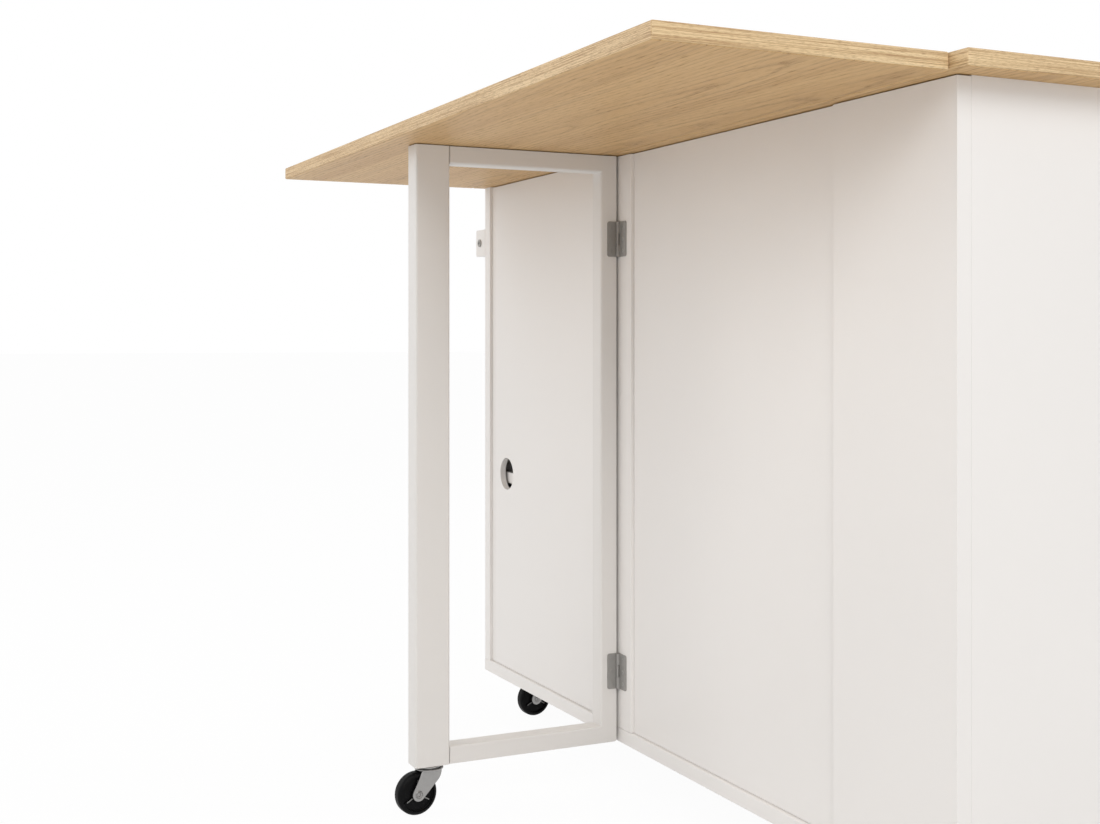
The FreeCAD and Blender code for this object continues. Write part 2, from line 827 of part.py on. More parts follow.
rack_z = under_top - S.rack_drop - S.rack_height
bar_z = rack_z + S.rack_height / 2
rack_back_y = -S.rack_thick
rack_front_y = front_y + S.rack_inset


def rack_block(y, bored_towards_front):
    """A rounded block on the cabinet's side with a blind bore for the bar's end."""
    body = new_body("rack_block", half_length, y, rack_z, node=False)
    pad(body, Profile(body).rectangle(0, 0, S.rack_reach, S.rack_thick), S.rack_height)
    fillet(body, S.rack_round,
           lambda edge: runs_along(edge, ALONG_Y) and on_level(edge, ALONG_X, S.rack_reach))
    bore = Profile(body, "XZ_Plane", 0 if bored_towards_front else -S.rack_thick)
    bore.circle(S.bar_out, S.rack_height / 2, S.bar_radius + S.pin_play)
    pocket(body, bore, S.bar_depth, reverse=not bored_towards_front)
    hole = Profile(body, "XZ_Plane")
    hole.small_hole(S.bar_out, S.rack_height / 2, S.screw_radius + S.screw_play)
    pocket(body, hole)
    return body


group("towel_rack_blocks", [rack_block(rack_back_y, True), rack_block(rack_front_y, False)])
towel_bar = doc.addObject("Part::Cylinder", "towel_bar")
towel_bar.Label = "towel_bar"
bar_start = rack_front_y + S.rack_thick - S.bar_depth
bar_end = rack_back_y + S.bar_depth
bind(towel_bar, "Radius", S.bar_radius)
bind(towel_bar, "Height", bar_end - bar_start)
place(towel_bar, half_length + S.bar_out, bar_end, bar_z, 90, (1, 0, 0))
exported.append(towel_bar)


# ---- gate leg ---------------------------------------------------------------------------------

gate_height = gate_top - S.gate_ground
post_left = S.gate_side_x - S.gate_post_proud
post_thick = S.gate_rail_thick + 2 * S.gate_post_proud

outer_post = board("gate_outer_post", post_left, gate_post_y, S.gate_ground,
                   post_thick, S.gate_post_width, gate_height)
fillet(outer_post, S.gate_round, lambda edge: runs_along(edge, ALONG_Z))
stem_bores(outer_post, [(post_thick / 2, S.gate_post_width / 2)])

hinge_post = board("gate_hinge_post", S.gate_side_x, S.gate_gap, S.gate_ground,
                   S.gate_rail_thick, S.gate_hinge_post, gate_height)
fillet(hinge_post, S.gate_round,
       lambda edge: runs_along(edge, ALONG_Z) and on_level(edge, ALONG_Y, S.gate_hinge_post))

for level, z in (("bottom", S.gate_ground), ("top", gate_top - S.gate_rail_height)):
    gate_rail = board(f"gate_{level}_rail", S.gate_side_x, gate_window_y, z,
                      S.gate_rail_thick, S.gate_window, S.gate_rail_height)
    inner_side = S.gate_rail_height if level == "bottom" else 0
    fillet(gate_rail, S.gate_round,
           lambda edge: runs_along(edge, ALONG_Y) and on_level(edge, ALONG_Z, inner_side))


# ---- casters ----------------------------------------------------------------------------------

crown_top = S.gate_ground - S.race_thick - S.race_play
crown_bottom = crown_top - S.fork_sheet
fork_inside = S.wheel_width + 2 * S.hub_play
fork_outside = fork_inside + 2 * S.fork_sheet


def caster_stem(x, y, seat, node=None):
    """
    The threaded stem of a caster with its ball race, made longer where the seat is higher, and
    the riveted king pin that carries the fork.
    """
    body = new_body(node or "caster_stem", x, y, seat, node=bool(node))
    race_low = crown_top + S.race_play - seat
    head_top = crown_bottom - S.race_play - seat
    head_low = head_top - S.kingpin_head_thick
    turned = Profile(body, "XZ_Plane")
    turned.outline([
        (0, S.stem_length), (S.stem_radius, S.stem_length), (S.stem_radius, 0),
        (S.race_radius, 0), (S.race_radius, race_low), (S.kingpin_radius, race_low),
        (S.kingpin_radius, head_top), (S.kingpin_head, head_top),
        (S.kingpin_head, head_low), (0, head_low),
    ])
    revolve(body, turned, "V_Axis")
    return body


def touching_turn(x, z, centre_x, centre_z, radius, side):
    """The turn round the centre at which a line from the point touches the circle."""
    away_x, away_z = x.value - centre_x.value, z.value - centre_z.value
    opening = math.acos(radius.value / math.hypot(away_x, away_z))
    return math.atan2(away_z, away_x) + side * opening


def caster_fork(label, x, y):
    """
    A pressed fork: two legs that taper from the crown to rounded ends round the axle, bent
    down from a round crown. The axle is riveted in it.
    """
    body = new_body(f"caster_{label}_fork", x, y, 0, S.caster_yaw)
    axle_x, axle_z, end = S.caster_trail, S.wheel_radius, S.fork_end_radius
    shoulder = crown_top - S.fork_shoulder
    leg = Profile(body, "XZ_Plane")
    sketch = leg.sketch
    fixed = [(-S.fork_front, shoulder), (-S.fork_front, crown_top), (S.fork_back, crown_top)]
    front_turn = touching_turn(*fixed[0], axle_x, axle_z, end, 1)
    back_turn = touching_turn(*fixed[2], axle_x, axle_z, end, -1)
    touching = [(axle_x + end * math.cos(turn), axle_z + end * math.sin(turn))
                for turn in (front_turn, back_turn)]
    corners = [touching[0], *fixed, touching[1]]
    vectors = [FreeCAD.Vector(px.value, pz.value, 0) for px, pz in corners]
    lines = [sketch.addGeometry(Part.LineSegment(a, b), False)
             for a, b in zip(vectors, vectors[1:])]
    centre = FreeCAD.Vector(axle_x.value, axle_z.value, 0)
    circle = Part.Circle(centre, FreeCAD.Vector(0, 0, 1), end.value)
    arc = sketch.addGeometry(Part.ArcOfCircle(circle, front_turn, back_turn), False)
    for first, second in zip(lines, lines[1:]):
        sketch.addConstraint(Sketcher.Constraint("Coincident", first, 2, second, 1))
    sketch.addConstraint(Sketcher.Constraint("Tangent", arc, 1, lines[0], 1))
    sketch.addConstraint(Sketcher.Constraint("Tangent", arc, 2, lines[-1], 2))
    leg.fix(arc, 3, axle_x, axle_z)
    leg.dimension("Radius", arc, end)
    for line, (px, pz) in zip(lines[1:], fixed):
        leg.fix(line, 1, px, pz)
    pad(body, leg, fork_outside, midplane=True)
    between = Profile(body, "YZ_Plane")
    between.rectangle(-fork_inside / 2, -end, fork_inside, crown_bottom + end)
    pocket(body, between)
    fillet(body, S.fork_bend, lambda edge: runs_along(edge, ALONG_X)
           and on_level(edge, ALONG_Z, crown_top))
    crown = Profile(body, "XY_Plane", crown_bottom)
    crown.circle(0, 0, S.crown_radius)
    pad(body, crown, S.fork_sheet)
    axle = Profile(body, "XZ_Plane")
    axle.circle(axle_x, axle_z, S.axle_radius)
    pad(body, axle, fork_outside, midplane=True)
    for offset, back in ((fork_outside / 2, False), (-fork_outside / 2, True)):
        head = Profile(body, "XZ_Plane", offset)
        head.circle(axle_x, axle_z, S.axle_head)
        pad(body, head, S.axle_head_thick, reverse=back)
    king_hole = Profile(body, "XY_Plane", crown_top)
    king_hole.circle(0, 0, S.kingpin_radius + S.pin_play)
    pocket(body, king_hole, 2 * S.fork_sheet)
    return body


TREAD_FACETS = 48  # the tread is many-sided and stands on a flat
RIBS = 3
RIB_START = math.pi / 2
RIB_STEP = 2 * math.pi / RIBS
RIM_CHORDS = 6
HUB_CHORDS = 3


def recess_corners(start):
    """The recess between one rib and the next, chorded along the rim and round the hub."""
    def beside_rib(turn, radius, side):
        half = side * S.rib_thick / 2
        return (S.caster_trail + radius * math.cos(turn) - half * math.sin(turn),
                radius * math.sin(turn) + half * math.cos(turn))

    def between(radius, chords):
        turns = [start + RIB_STEP * step / chords for step in range(1, chords)]
        return [(S.caster_trail + radius * math.cos(turn), radius * math.sin(turn))
                for turn in turns]

    stop = start + RIB_STEP
    by_hub = S.hub_radius + S.rib_thick
    outer = [beside_rib(start, S.rim_radius, 1), *between(S.rim_radius, RIM_CHORDS),
             beside_rib(stop, S.rim_radius, -1)]
    inner = [beside_rib(start, by_hub, 1), *between(by_hub, HUB_CHORDS),
             beside_rib(stop, by_hub, -1)]
    return outer + inner[::-1]


def caster_wheel(label, x, y):
    """A moulded wheel: a hub, and a rim joined by a thin web with three ribs on each side."""
    body = new_body(f"caster_{label}_wheel", x, y, S.wheel_radius, S.caster_yaw)
    half = S.wheel_width / 2
    tread = body.newObject("PartDesign::AdditivePrism", body.Label + "_tread")
    tread.Polygon = TREAD_FACETS
    flat_down = FreeCAD.Rotation(FreeCAD.Vector(0, 0, 1), 180 / TREAD_FACETS)
    lying = FreeCAD.Rotation(FreeCAD.Vector(1, 0, 0), 90)
    tread.Placement = FreeCAD.Placement(FreeCAD.Vector(0, 0, 0), lying * flat_down)
    bind(tread, "Circumradius", S.wheel_radius * (1 / math.cos(math.pi / TREAD_FACETS)))
    bind(tread, "Height", S.wheel_width)
    bind(tread, "Placement.Base.x", S.caster_trail)
    bind(tread, "Placement.Base.y", half)
    bore = Profile(body, "XZ_Plane", half)
    bore.circle(S.caster_trail, 0, S.axle_radius + S.pin_play)
    pocket(body, bore, S.wheel_width)
    recess = Profile(body, "XZ_Plane", half)
    for turn in range(RIBS):
        recess.outline(recess_corners(turn * RIB_STEP + RIB_START))
    cut = pocket(body, recess, half - S.web_width / 2)
    mirror = body.newObject("PartDesign::Mirrored", body.Label + "_other_side")
    mirror.Originals = [cut]
    mirror.MirrorPlane = (origin_plane(body, "XZ_Plane"), [""])
    body.Tip = mirror
    doc.recompute()
    return body


caster_stem(gate_middle_x, gate_caster_y, S.gate_ground, "gate_caster_stem")
group("caster_stems", [caster_stem(x, y, S.base_height) for x, y in cabinet_casters.values()])
for label, (x, y) in {**cabinet_casters, "gate": (gate_middle_x, gate_caster_y)}.items():
    caster_fork(label, x, y)
    caster_wheel(label, x, y)


# ---- screws -----------------------------------------------------------------------------------

def screw_heights(z):
    return [z - S.hinge_height / 2 + level for level in hinge_screw_levels]


fixed_middle = (S.gate_knuckle + S.knuckle_play + S.gate_leaf_fixed) / 2
moving_middle = (S.gate_knuckle + S.knuckle_play + S.gate_leaf_moving) / 2
cabinet_screws = []
gate_screws = []
for hinge_z in gate_hinge_z:
    for z in screw_heights(hinge_z):
        cabinet_screws.append(screw(gate_axis_x - fixed_middle, S.gate_hinge_sheet, z,
                                    -90, (1, 0, 0)))
        gate_screws.append(screw(S.gate_side_x - S.gate_hinge_sheet,
                                 gate_axis_y + moving_middle, z, -90, (0, 1, 0)))
for y, angle in ((0, -90), (rack_front_y, 90)):
    cabinet_screws.append(screw(half_length + S.bar_out, y, bar_z, angle, (1, 0, 0)))
group("cabinet_screws", cabinet_screws)
group("gate_screws", gate_screws)


# ---- check and export -------------------------------------------------------------------------

doc.recompute()
for item in doc.Objects:
    if "Invalid" in item.State or "Error" in item.State:
        raise RuntimeError(f"{item.Label} did not compute")

os.makedirs("parts", exist_ok=True)
for item in exported:
    if item.Shape.isNull() or not item.Shape.isValid():
        raise RuntimeError(f"{item.Label} has no valid shape")
    item.Shape.exportStep(f"parts/{item.Label}.step")
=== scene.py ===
import json
import math

import bmesh
import bpy
from mathutils import Matrix, Vector


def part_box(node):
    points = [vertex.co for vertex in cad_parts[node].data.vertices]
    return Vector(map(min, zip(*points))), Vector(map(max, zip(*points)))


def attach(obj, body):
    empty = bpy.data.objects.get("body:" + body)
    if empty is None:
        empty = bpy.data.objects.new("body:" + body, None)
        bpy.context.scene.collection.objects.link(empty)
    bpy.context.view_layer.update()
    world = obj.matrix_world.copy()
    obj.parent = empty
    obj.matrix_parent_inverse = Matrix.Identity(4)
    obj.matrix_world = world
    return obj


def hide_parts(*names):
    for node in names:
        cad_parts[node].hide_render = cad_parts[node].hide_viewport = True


# A rolling kitchen table: white cabinet, oak top, and a raised oak leaf on a swing-out gate leg.
# Metres, +Z up, the doors face -Y and the leaf reaches out to +Y.

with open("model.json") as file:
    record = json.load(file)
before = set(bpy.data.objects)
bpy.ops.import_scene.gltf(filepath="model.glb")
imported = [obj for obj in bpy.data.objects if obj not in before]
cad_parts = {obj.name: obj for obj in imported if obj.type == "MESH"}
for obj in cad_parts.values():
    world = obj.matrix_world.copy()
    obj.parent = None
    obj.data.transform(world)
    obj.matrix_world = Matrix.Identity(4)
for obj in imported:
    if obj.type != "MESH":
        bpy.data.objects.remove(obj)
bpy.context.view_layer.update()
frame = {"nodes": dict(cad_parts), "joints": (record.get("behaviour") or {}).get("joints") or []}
nodes = frame["nodes"]
joints = {joint["name"]: joint for joint in frame["joints"]}

MM = 0.001


# ---- finishes ---------------------------------------------------------------------------------

class Socket:
    """A node's output, on which Python's operators add Math nodes."""

    def __init__(self, owner, output):
        self.owner = owner
        self.output = output

    def maths(self, operation, first, second):
        return self.owner.node("Math", {"operation": operation}, {0: first, 1: second})

    def __add__(self, other):
        return self.maths("ADD", self, other)

    def __sub__(self, other):
        return self.maths("SUBTRACT", self, other)

    def __rsub__(self, other):
        return self.maths("SUBTRACT", other, self)

    def __mul__(self, other):
        return self.maths("MULTIPLY", self, other)

    def __truediv__(self, other):
        return self.maths("DIVIDE", self, other)

    __radd__ = __add__
    __rmul__ = __mul__


class Nodes:
    """A tree of shader nodes, all of them made by one method."""

    def __init__(self, tree):
        self.tree = tree

    def node(self, kind, settings, inputs, output=0):
        """Adds a node: its settings are set first, then the values or links of its sockets."""
        node = self.tree.nodes.new("ShaderNode" + kind)
        for name, value in settings.items():
            if name == "stops":
                node.color_ramp.elements.remove(node.color_ramp.elements[1])
                node.color_ramp.elements[0].position, node.color_ramp.elements[0].color = value[0]
                for place, colour in value[1:]:
                    node.color_ramp.elements.new(place).color = colour
            else:
                setattr(node, name, value)
        for name, value in inputs.items():
            self.feed(node.inputs[name], value)
        return Socket(self, node.outputs[output])

    def feed(self, socket, value):
        if isinstance(value, Socket):
            self.tree.links.new(value.output, socket)
        else:
            socket.default_value = value

    def seen(self):
        """1 where the surface is looked at, straight on or in something glossy or clear."""
        camera, glossy, clear = (self.node("LightPath", {}, {}, f"Is {ray} Ray")
                                 for ray in ("Camera", "Glossy", "Transmission"))
        return camera + glossy + clear


class Finish(Nodes):
    """
    A material with one Principled shader, and the nodes that vary it over the surface. What is
    the same all over is given as fixed, by the name of the shader's socket.
    """

    def __init__(self, name, fixed=None):
        self.material = bpy.data.materials.new(name)
        self.material.use_nodes = True
        super().__init__(self.material.node_tree)
        self.shader = self.tree.nodes["Principled BSDF"]
        for socket, value in (fixed or {}).items():
            self.shader.inputs[socket].default_value = value

    def place(self):
        """The x, y and z of the surface in the object's own space."""
        coordinates = self.node("TexCoord", {}, {}, "Object")
        return [self.node("SeparateXYZ", {}, {"Vector": coordinates}, axis) for axis in "XYZ"]

    def vector(self, x, y, z):
        return self.node("CombineXYZ", {}, {"X": x, "Y": y, "Z": z})

    def noise(self, vector, scale, detail=2.0, roughness=0.5):
        return self.node("TexNoise", {},
                         {"Vector": vector, "Scale": scale, "Detail": detail,
                          "Roughness": roughness})

    def grain(self, x, y, z, detail=2.0, roughness=0.5):
        """Noise that is stretched along some axes: each is given already scaled."""
        return self.noise(self.vector(x, y, z), 1.0, detail, roughness)

    def chance(self, number):
        """A number from 0 to 1 that is the same wherever the given one is."""
        return self.node("TexWhiteNoise", {"noise_dimensions": "1D"}, {"W": number})

    def between(self, share, low, high):
        """A colour between two, by a share from 0 to 1."""
        return self.node("Mix", {"data_type": "RGBA"}, {0: share, 6: low, 7: high}, 2)

    def steps(self, value, stops):
        """A grey read off a ramp of (place, level) stops."""
        stops = [(place, (level, level, level, 1)) for place, level in stops]
        return self.node("ValToRGB", {"stops": stops}, {"Fac": value})

    def wear(self, colour, roughness, height, depth):
        """Feeds the shader what varies; height is a bump of the depth in metres."""
        self.feed(self.shader.inputs["Base Color"], colour)
        self.feed(self.shader.inputs["Roughness"], roughness)
        bump = self.node("Bump", {}, {"Height": height, "Distance": depth})
        self.feed(self.shader.inputs["Normal"], bump)
        return self.material


def colour(red, green, blue):
    return (red, green, blue, 1.0)


def darker(shade, share):
    return colour(*(share * level for level in shade))


def white_lacquer(name, shade):
    """Sprayed satin lacquer: a faint orange peel, and a tone that drifts a little."""
    finish = Finish(name)
    surface = finish.vector(*finish.place())
    drift = finish.noise(surface, 2.6, 3.0)
    peel = finish.noise(surface, 520.0, 2.0)
    dust = finish.noise(surface, 60.0, 4.0, 0.65)
    return finish.wear(finish.between(drift, darker(shade, 0.955), colour(*shade)),
                       0.34 + dust * 0.12, peel, 0.03 * MM)


def oak(name, leaf_width):
    """
    Oak veneer with its grain along X: bands of tone, thin streaks, growth rings that close to
    pointed arches in the middle of each leaf of veneer, and open pores in the early wood.
    """
    ring_gap, ripple_reach = 7.8 * MM, 5.2 * MM
    sway_aside, sway_along = 50 * MM, 30 * MM
    arch_slope, arch_spread, arch_start = 0.042, 1.4, -1.1
    finish = Finish(name)
    length, across, z = finish.place()
    leaf = finish.node("Math", {"operation": "FLOOR"}, {0: across / leaf_width})
    middle = (leaf + 0.25 + finish.chance(leaf + 3.7) * 0.5) * leaf_width
    start = finish.chance(leaf + 11.3) * arch_spread + arch_start
    sway = finish.grain(length * 1.6, leaf * 5.3, 0.0) - 0.5
    aside = across - middle + sway * sway_aside
    depth = (length + start) * arch_slope + sway * sway_along
    to_heart = finish.node("Math", {"operation": "SQRT"}, {0: aside * aside + depth * depth})
    ripple = finish.grain(length * 9.0, across * 70.0, leaf * 3.1, 3.0, 0.6) - 0.5
    rings = finish.node("Math", {"operation": "FRACT"},
                        {0: (to_heart + ripple * ripple_reach) / ring_gap})
    early = finish.steps(rings, [(0.0, 0.80), (0.10, 1.0), (0.30, 0.25), (0.70, 0.05),
                                 (0.94, 0.15), (1.0, 0.80)])
    shown = finish.steps(finish.grain(length * 1.7, across * 11.0, leaf, 3.0),
                         [(0.32, 0.35), (0.58, 1.0)])
    fibre = finish.grain(length * 8.0, across * 620.0, z * 620.0, 3.0, 0.6)
    pore = finish.grain(length * 55.0, across * 820.0, z * 820.0, 1.0)
    pores = finish.steps(pore, [(0.56, 0.0), (0.68, 1.0)]) * (early * shown * 0.7 + 0.3)
    band = finish.grain(length * 0.45, across * 19.0, leaf * 1.7, 4.0, 0.62)
    bands = finish.steps(band, [(0.38, 0.0), (0.64, 1.0)])
    streak = finish.grain(length * 1.3, across * 130.0, leaf * 2.9, 3.0, 0.6)
    streaks = finish.steps(streak, [(0.57, 0.0), (0.64, 1.0), (0.70, 0.4)])
    lines = finish.steps(fibre, [(0.44, 0.0), (0.66, 1.0)])
    wood = finish.between(bands, colour(0.650, 0.421, 0.181), colour(0.545, 0.325, 0.126))
    for share, tone in ((early * shown * (fibre * 0.7 + 0.25), colour(0.345, 0.184, 0.066)),
                        (streaks * 0.34, colour(0.310, 0.165, 0.060)),
                        (lines * 0.30, colour(0.725, 0.508, 0.253)),
                        (pores * 0.72, colour(0.205, 0.103, 0.037))):
        wood = finish.between(share, wood, tone)
    return finish.wear(wood, 0.44 + pores * 0.2 + fibre * 0.08, 1.0 - pores - early * 0.25,
                       0.06 * MM)


def oak_edge(name, axis, light, deep):
    """The solid strip on a board's edge: straight grain along the edge, in fine lines."""
    finish = Finish(name)
    x, y, z = finish.place()
    length, across = (x, y) if axis == "X" else (y, x)
    bend = finish.grain(length * 2.2, 0.0, z * 12.0)
    line = finish.grain(length * 4.0, 0.0, z * 1250.0 + across * 300.0 + bend * 7.0, 2.0, 0.55)
    lines = finish.steps(line, [(0.42, 0.0), (0.52, 0.30), (0.57, 1.0), (0.66, 0.35)])
    pore = finish.grain(length * 120.0, across * 300.0, z * 2400.0, 1.0)
    pores = finish.steps(pore, [(0.54, 0.0), (0.66, 1.0)])
    tone = finish.grain(length * 3.0, 0.0, z * 45.0)
    wood = finish.between(tone, colour(*light), colour(*deep))
    wood = finish.between(lines * 0.90, wood, colour(0.360, 0.205, 0.082))
    wood = finish.between(pores * 0.60, wood, colour(0.260, 0.138, 0.055))
    return finish.wear(wood, 0.46 + lines * 0.12, 1.0 - pores * 0.6 - lines * 0.3, 0.06 * MM)


def birch_ply(name):
    """Clear lacquered birch ply for the drawer boxes, with soft streaks along the boards."""
    finish = Finish(name)
    x, y, z = finish.place()
    streak = finish.grain(x * 9.0, y * 9.0, z * 260.0, 4.0, 0.6)
    cloud = finish.noise(finish.vector(x, y, z), 7.0, 3.0)
    wood = finish.between(cloud, colour(0.720, 0.580, 0.390), colour(0.620, 0.470, 0.290))
    wood = finish.between(streak * 0.5, wood, colour(0.520, 0.375, 0.215))
    return finish.wear(wood, 0.42 + streak * 0.16, streak, 0.04 * MM)


def plated_steel(name, shade, rough, brushed=0.0):
    """Plated or brushed steel: faint streaks and clouds in its tone and its polish."""
    finish = Finish(name, {"Metallic": 1.0})
    x, y, z = finish.place()
    cloud = finish.noise(finish.vector(x, y, z), 160.0, 4.0, 0.7)
    streak = finish.grain(x * 1500.0, y * 1500.0, z * (40.0 if brushed else 700.0))
    mottle = cloud * (1.0 - brushed) + streak * brushed
    return finish.wear(finish.between(mottle, darker(shade, 0.80), colour(*shade)),
                       rough + cloud * 0.10 + streak * 0.06, streak, 0.012 * MM)


def wheel_plastic(name, shade, gloss):
    """Moulded plastic, a little scuffed."""
    finish = Finish(name, {"Specular IOR Level": gloss})
    surface = finish.vector(*finish.place())
    scuff = finish.noise(surface, 240.0, 5.0, 0.7)
    texture = finish.noise(surface, 1900.0, 2.0)
    return finish.wear(finish.between(scuff, darker(shade, 0.45), colour(*shade)),
                       0.34 + scuff * 0.20, texture, 0.02 * MM)


VENEER_LEAF = 165 * MM

CABINET_WHITE = white_lacquer("cabinet_lacquer", (0.826, 0.803, 0.781))
# The gate leg's lacquer is the cabinet's white made darker: painted shade for the leg, which
# stands under the leaf.
LEG_WHITE_PAINTED_SHADE = white_lacquer("leg_lacquer", (0.742, 0.720, 0.695))
OAK = oak("oak_veneer", VENEER_LEAF)
# The same oak edge strip in two tones. The long strip is darker, which is painted shade, and the
# end strip is lighter, which is painted light, for how the lamps fall on each.
OAK_EDGE_LONG_PAINTED_DARKER = oak_edge("oak_edge_strip_long", "X", (0.772, 0.588, 0.348), (0.672, 0.468, 0.242))
OAK_EDGE_END_PAINTED_LIGHTER = oak_edge("oak_edge_strip_end", "Y", (0.805, 0.632, 0.386), (0.704, 0.506, 0.272))
PLY = birch_ply("birch_ply")
HINGE_STEEL = plated_steel("hinge_plating", (0.460, 0.447, 0.428), 0.58)
ZINC = plated_steel("zinc_plating", (0.520, 0.515, 0.500), 0.34)
FORK_STEEL = plated_steel("fork_plating", (0.400, 0.392, 0.384), 0.36)
NICKEL = plated_steel("brushed_nickel", (0.560, 0.545, 0.520), 0.26, brushed=0.8)
BLACK = wheel_plastic("black_plastic", (0.0056, 0.0056, 0.0060), 0.09)
# Light grey plastic for the ribs' narrow tops: a painted highlight where the ribs catch the
# light.
RIB_PAINTED_HIGHLIGHT = wheel_plastic("rubbed_plastic", (0.260, 0.257, 0.252), 0.40)


# ---- shapes -----------------------------------------------------------------------------------

def sharp(edge):
    return len(edge.link_faces) == 2 and edge.calc_face_angle(0.0) > math.radians(50)


def rounded(shape, radius, test=sharp, segments=3):
    """Rounds the edges that the test picks."""
    picked = [edge for edge in shape.edges if test(edge)]
    bmesh.ops.bevel(shape, geom=picked, offset=radius, offset_type="OFFSET", segments=segments,
                    profile=0.5, affect="EDGES", material=-1, clamp_overlap=True)
    return shape


def cuboid(low, high):
    shape = bmesh.new()
    bmesh.ops.create_cube(shape, size=1.0)
    bmesh.ops.scale(shape, vec=high - low, verts=shape.verts)
    bmesh.ops.translate(shape, vec=(low + high) / 2, verts=shape.verts)
    return shape


def turned(outline, closed=False, steps=48):
    """A solid of revolution about Z from (radius, height) points."""
    shape = bmesh.new()
    verts = [shape.verts.new((radius, 0, height)) for radius, height in outline]
    pairs = list(zip(verts, verts[1:] + verts[:1])) if closed else list(zip(verts, verts[1:]))
    edges = [shape.edges.new(pair) for pair in pairs]
    bmesh.ops.spin(shape, geom=verts + edges, cent=(0, 0, 0), axis=(0, 0, 1), dvec=(0, 0, 0),
                   angle=2 * math.pi, steps=steps, use_merge=True)
    bmesh.ops.remove_doubles(shape, verts=shape.verts, dist=0.001 * MM)
    bmesh.ops.recalc_face_normals(shape, faces=shape.faces)
    return shape


CORNER_STEPS = 6


def slab(outline, thickness, holes=(), corners=None):
    """A plate in XY, from Z = 0 up; corners gives the radius of some corners by their index."""
    shape = bmesh.new()
    loops = []
    for loop in (outline, *holes):
        verts = [shape.verts.new((x, y, 0)) for x, y in loop]
        loops += [shape.edges.new(pair) for pair in zip(verts, verts[1:] + verts[:1])]
    shape.verts.ensure_lookup_table()
    if holes:
        bmesh.ops.triangle_fill(shape, use_beauty=True, edges=loops)
    else:
        bmesh.ops.contextual_create(shape, geom=loops)
    for corner, radius in (corners or {}).items():
        shape.verts.ensure_lookup_table()
        bmesh.ops.bevel(shape, geom=[shape.verts[corner]], offset=radius, offset_type="OFFSET",
                        segments=CORNER_STEPS, profile=0.5, affect="VERTICES", material=-1)
    grown = bmesh.ops.extrude_face_region(shape, geom=shape.faces[:])
    tops = [item for item in grown["geom"] if isinstance(item, bmesh.types.BMVert)]
    bmesh.ops.translate(shape, vec=(0, 0, thickness), verts=tops)
    bmesh.ops.recalc_face_normals(shape, faces=shape.faces)
    return shape


def moved(shape, matrix):
    bmesh.ops.transform(shape, matrix=matrix, verts=shape.verts)
    return shape


def joined(shapes):
    whole = bmesh.new()
    for shape in shapes:
        mesh = bpy.data.meshes.new("joined")
        shape.to_mesh(mesh)
        shape.free()
        whole.from_mesh(mesh)
        bpy.data.meshes.remove(mesh)
    return whole


def rectangle(width, height):
    return [(0, 0), (width, 0), (width, height), (0, height)]


def arc(x, y, radius, start, stop, steps):
    turns = [start + (stop - start) * step / steps for step in range(steps + 1)]
    return [(x + radius * math.cos(turn), y + radius * math.sin(turn)) for turn in turns]


def touching_turn(x, z, centre_x, centre_z, radius, side):
    """The turn round the centre at which a line from the point touches the circle."""
    opening = math.acos(radius / math.hypot(x - centre_x, z - centre_z))
    return math.atan2(z - centre_z, x - centre_x) + side * opening


def circle(x, y, radius, steps=32):
    return arc(x, y, radius, 0, 2 * math.pi * (steps - 1) / steps, steps - 1)


def at(x, y, z, turn=0.0, axis="Z"):
    return Matrix.Translation((x, y, z)) @ Matrix.Rotation(math.radians(turn), 4, axis)


def finished(name, shape, materials, body, replaced=(), pick=None):
    """Makes the object, with soft edges kept smooth and flat faces flat."""
    if pick:
        for face in shape.faces:
            face.material_index = pick(face.normal)
    mesh = bpy.data.meshes.new(name)
    shape.to_mesh(mesh)
    shape.free()
    for material in materials:
        mesh.materials.append(material)
    mesh.polygons.foreach_set("use_smooth", [True] * len(mesh.polygons))
    mesh.set_sharp_from_angle(angle=math.radians(40))
    thing = bpy.data.objects.new(name, mesh)
    bpy.context.scene.collection.objects.link(thing)
    normals = thing.modifiers.new("flat_faces_flat", "WEIGHTED_NORMAL")
    normals.keep_sharp = True
    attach(thing, body)
    if replaced:
        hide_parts(*replaced)


# ---- oak top and leaf -------------------------------------------------------------------------

OAK_ROUND = 2.2 * MM


def oak_face(normal):
    """Which of the veneer, the long edge strip and the end strip a face belongs to."""
    steepest = max(range(3), key=lambda axis: abs(normal[axis]))
    return {2: 0, 1: 1, 0: 2}[steepest]


for node in ("main_top", "drop_leaf"):
    shape = rounded(cuboid(*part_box(node)), OAK_ROUND, segments=4)
    finished(node + "_boards", shape, [OAK, OAK_EDGE_LONG_PAINTED_DARKER, OAK_EDGE_END_PAINTED_LIGHTER], "cabinet", [node],
             oak_face)


# ---- white boards -----------------------------------------------------------------------------

EASED = 0.4 * MM
BOARD_ROUND = 1.5 * MM
RIM_ROUND = 0.6 * MM
REVEAL_BELOW = 0.4 * MM
REVEAL_ABOVE = 1.2 * MM
NEAR = 0.01 * MM
X, Y, Z = range(3)


def runs(edge, axis):
    """True for an edge along the axis."""
    way = edge.verts[1].co - edge.verts[0].co
    return abs(way[axis]) > 0.999 * way.length


def on_side(edge, axis, level):
    middle = (edge.verts[0].co + edge.verts[1].co) / 2
    return abs(middle[axis] - level) < NEAR


def along(*axes, side=None, high_side=True):
    """Picks a board's edges along any of the axes: all of them, or those on one side only."""
    def picks(edge, low, high):
        on_it = side is None or on_side(edge, side, (high if high_side else low)[side])
        return on_it and any(runs(edge, axis) for axis in axes)
    return picks


def board_box(node):
    """A board's box; those of the back stop a hair short of the bottom board and the top."""
    low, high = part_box(node)
    if node.startswith("back_"):
        low.z += REVEAL_BELOW
        high.z -= REVEAL_ABOVE
    return low, high


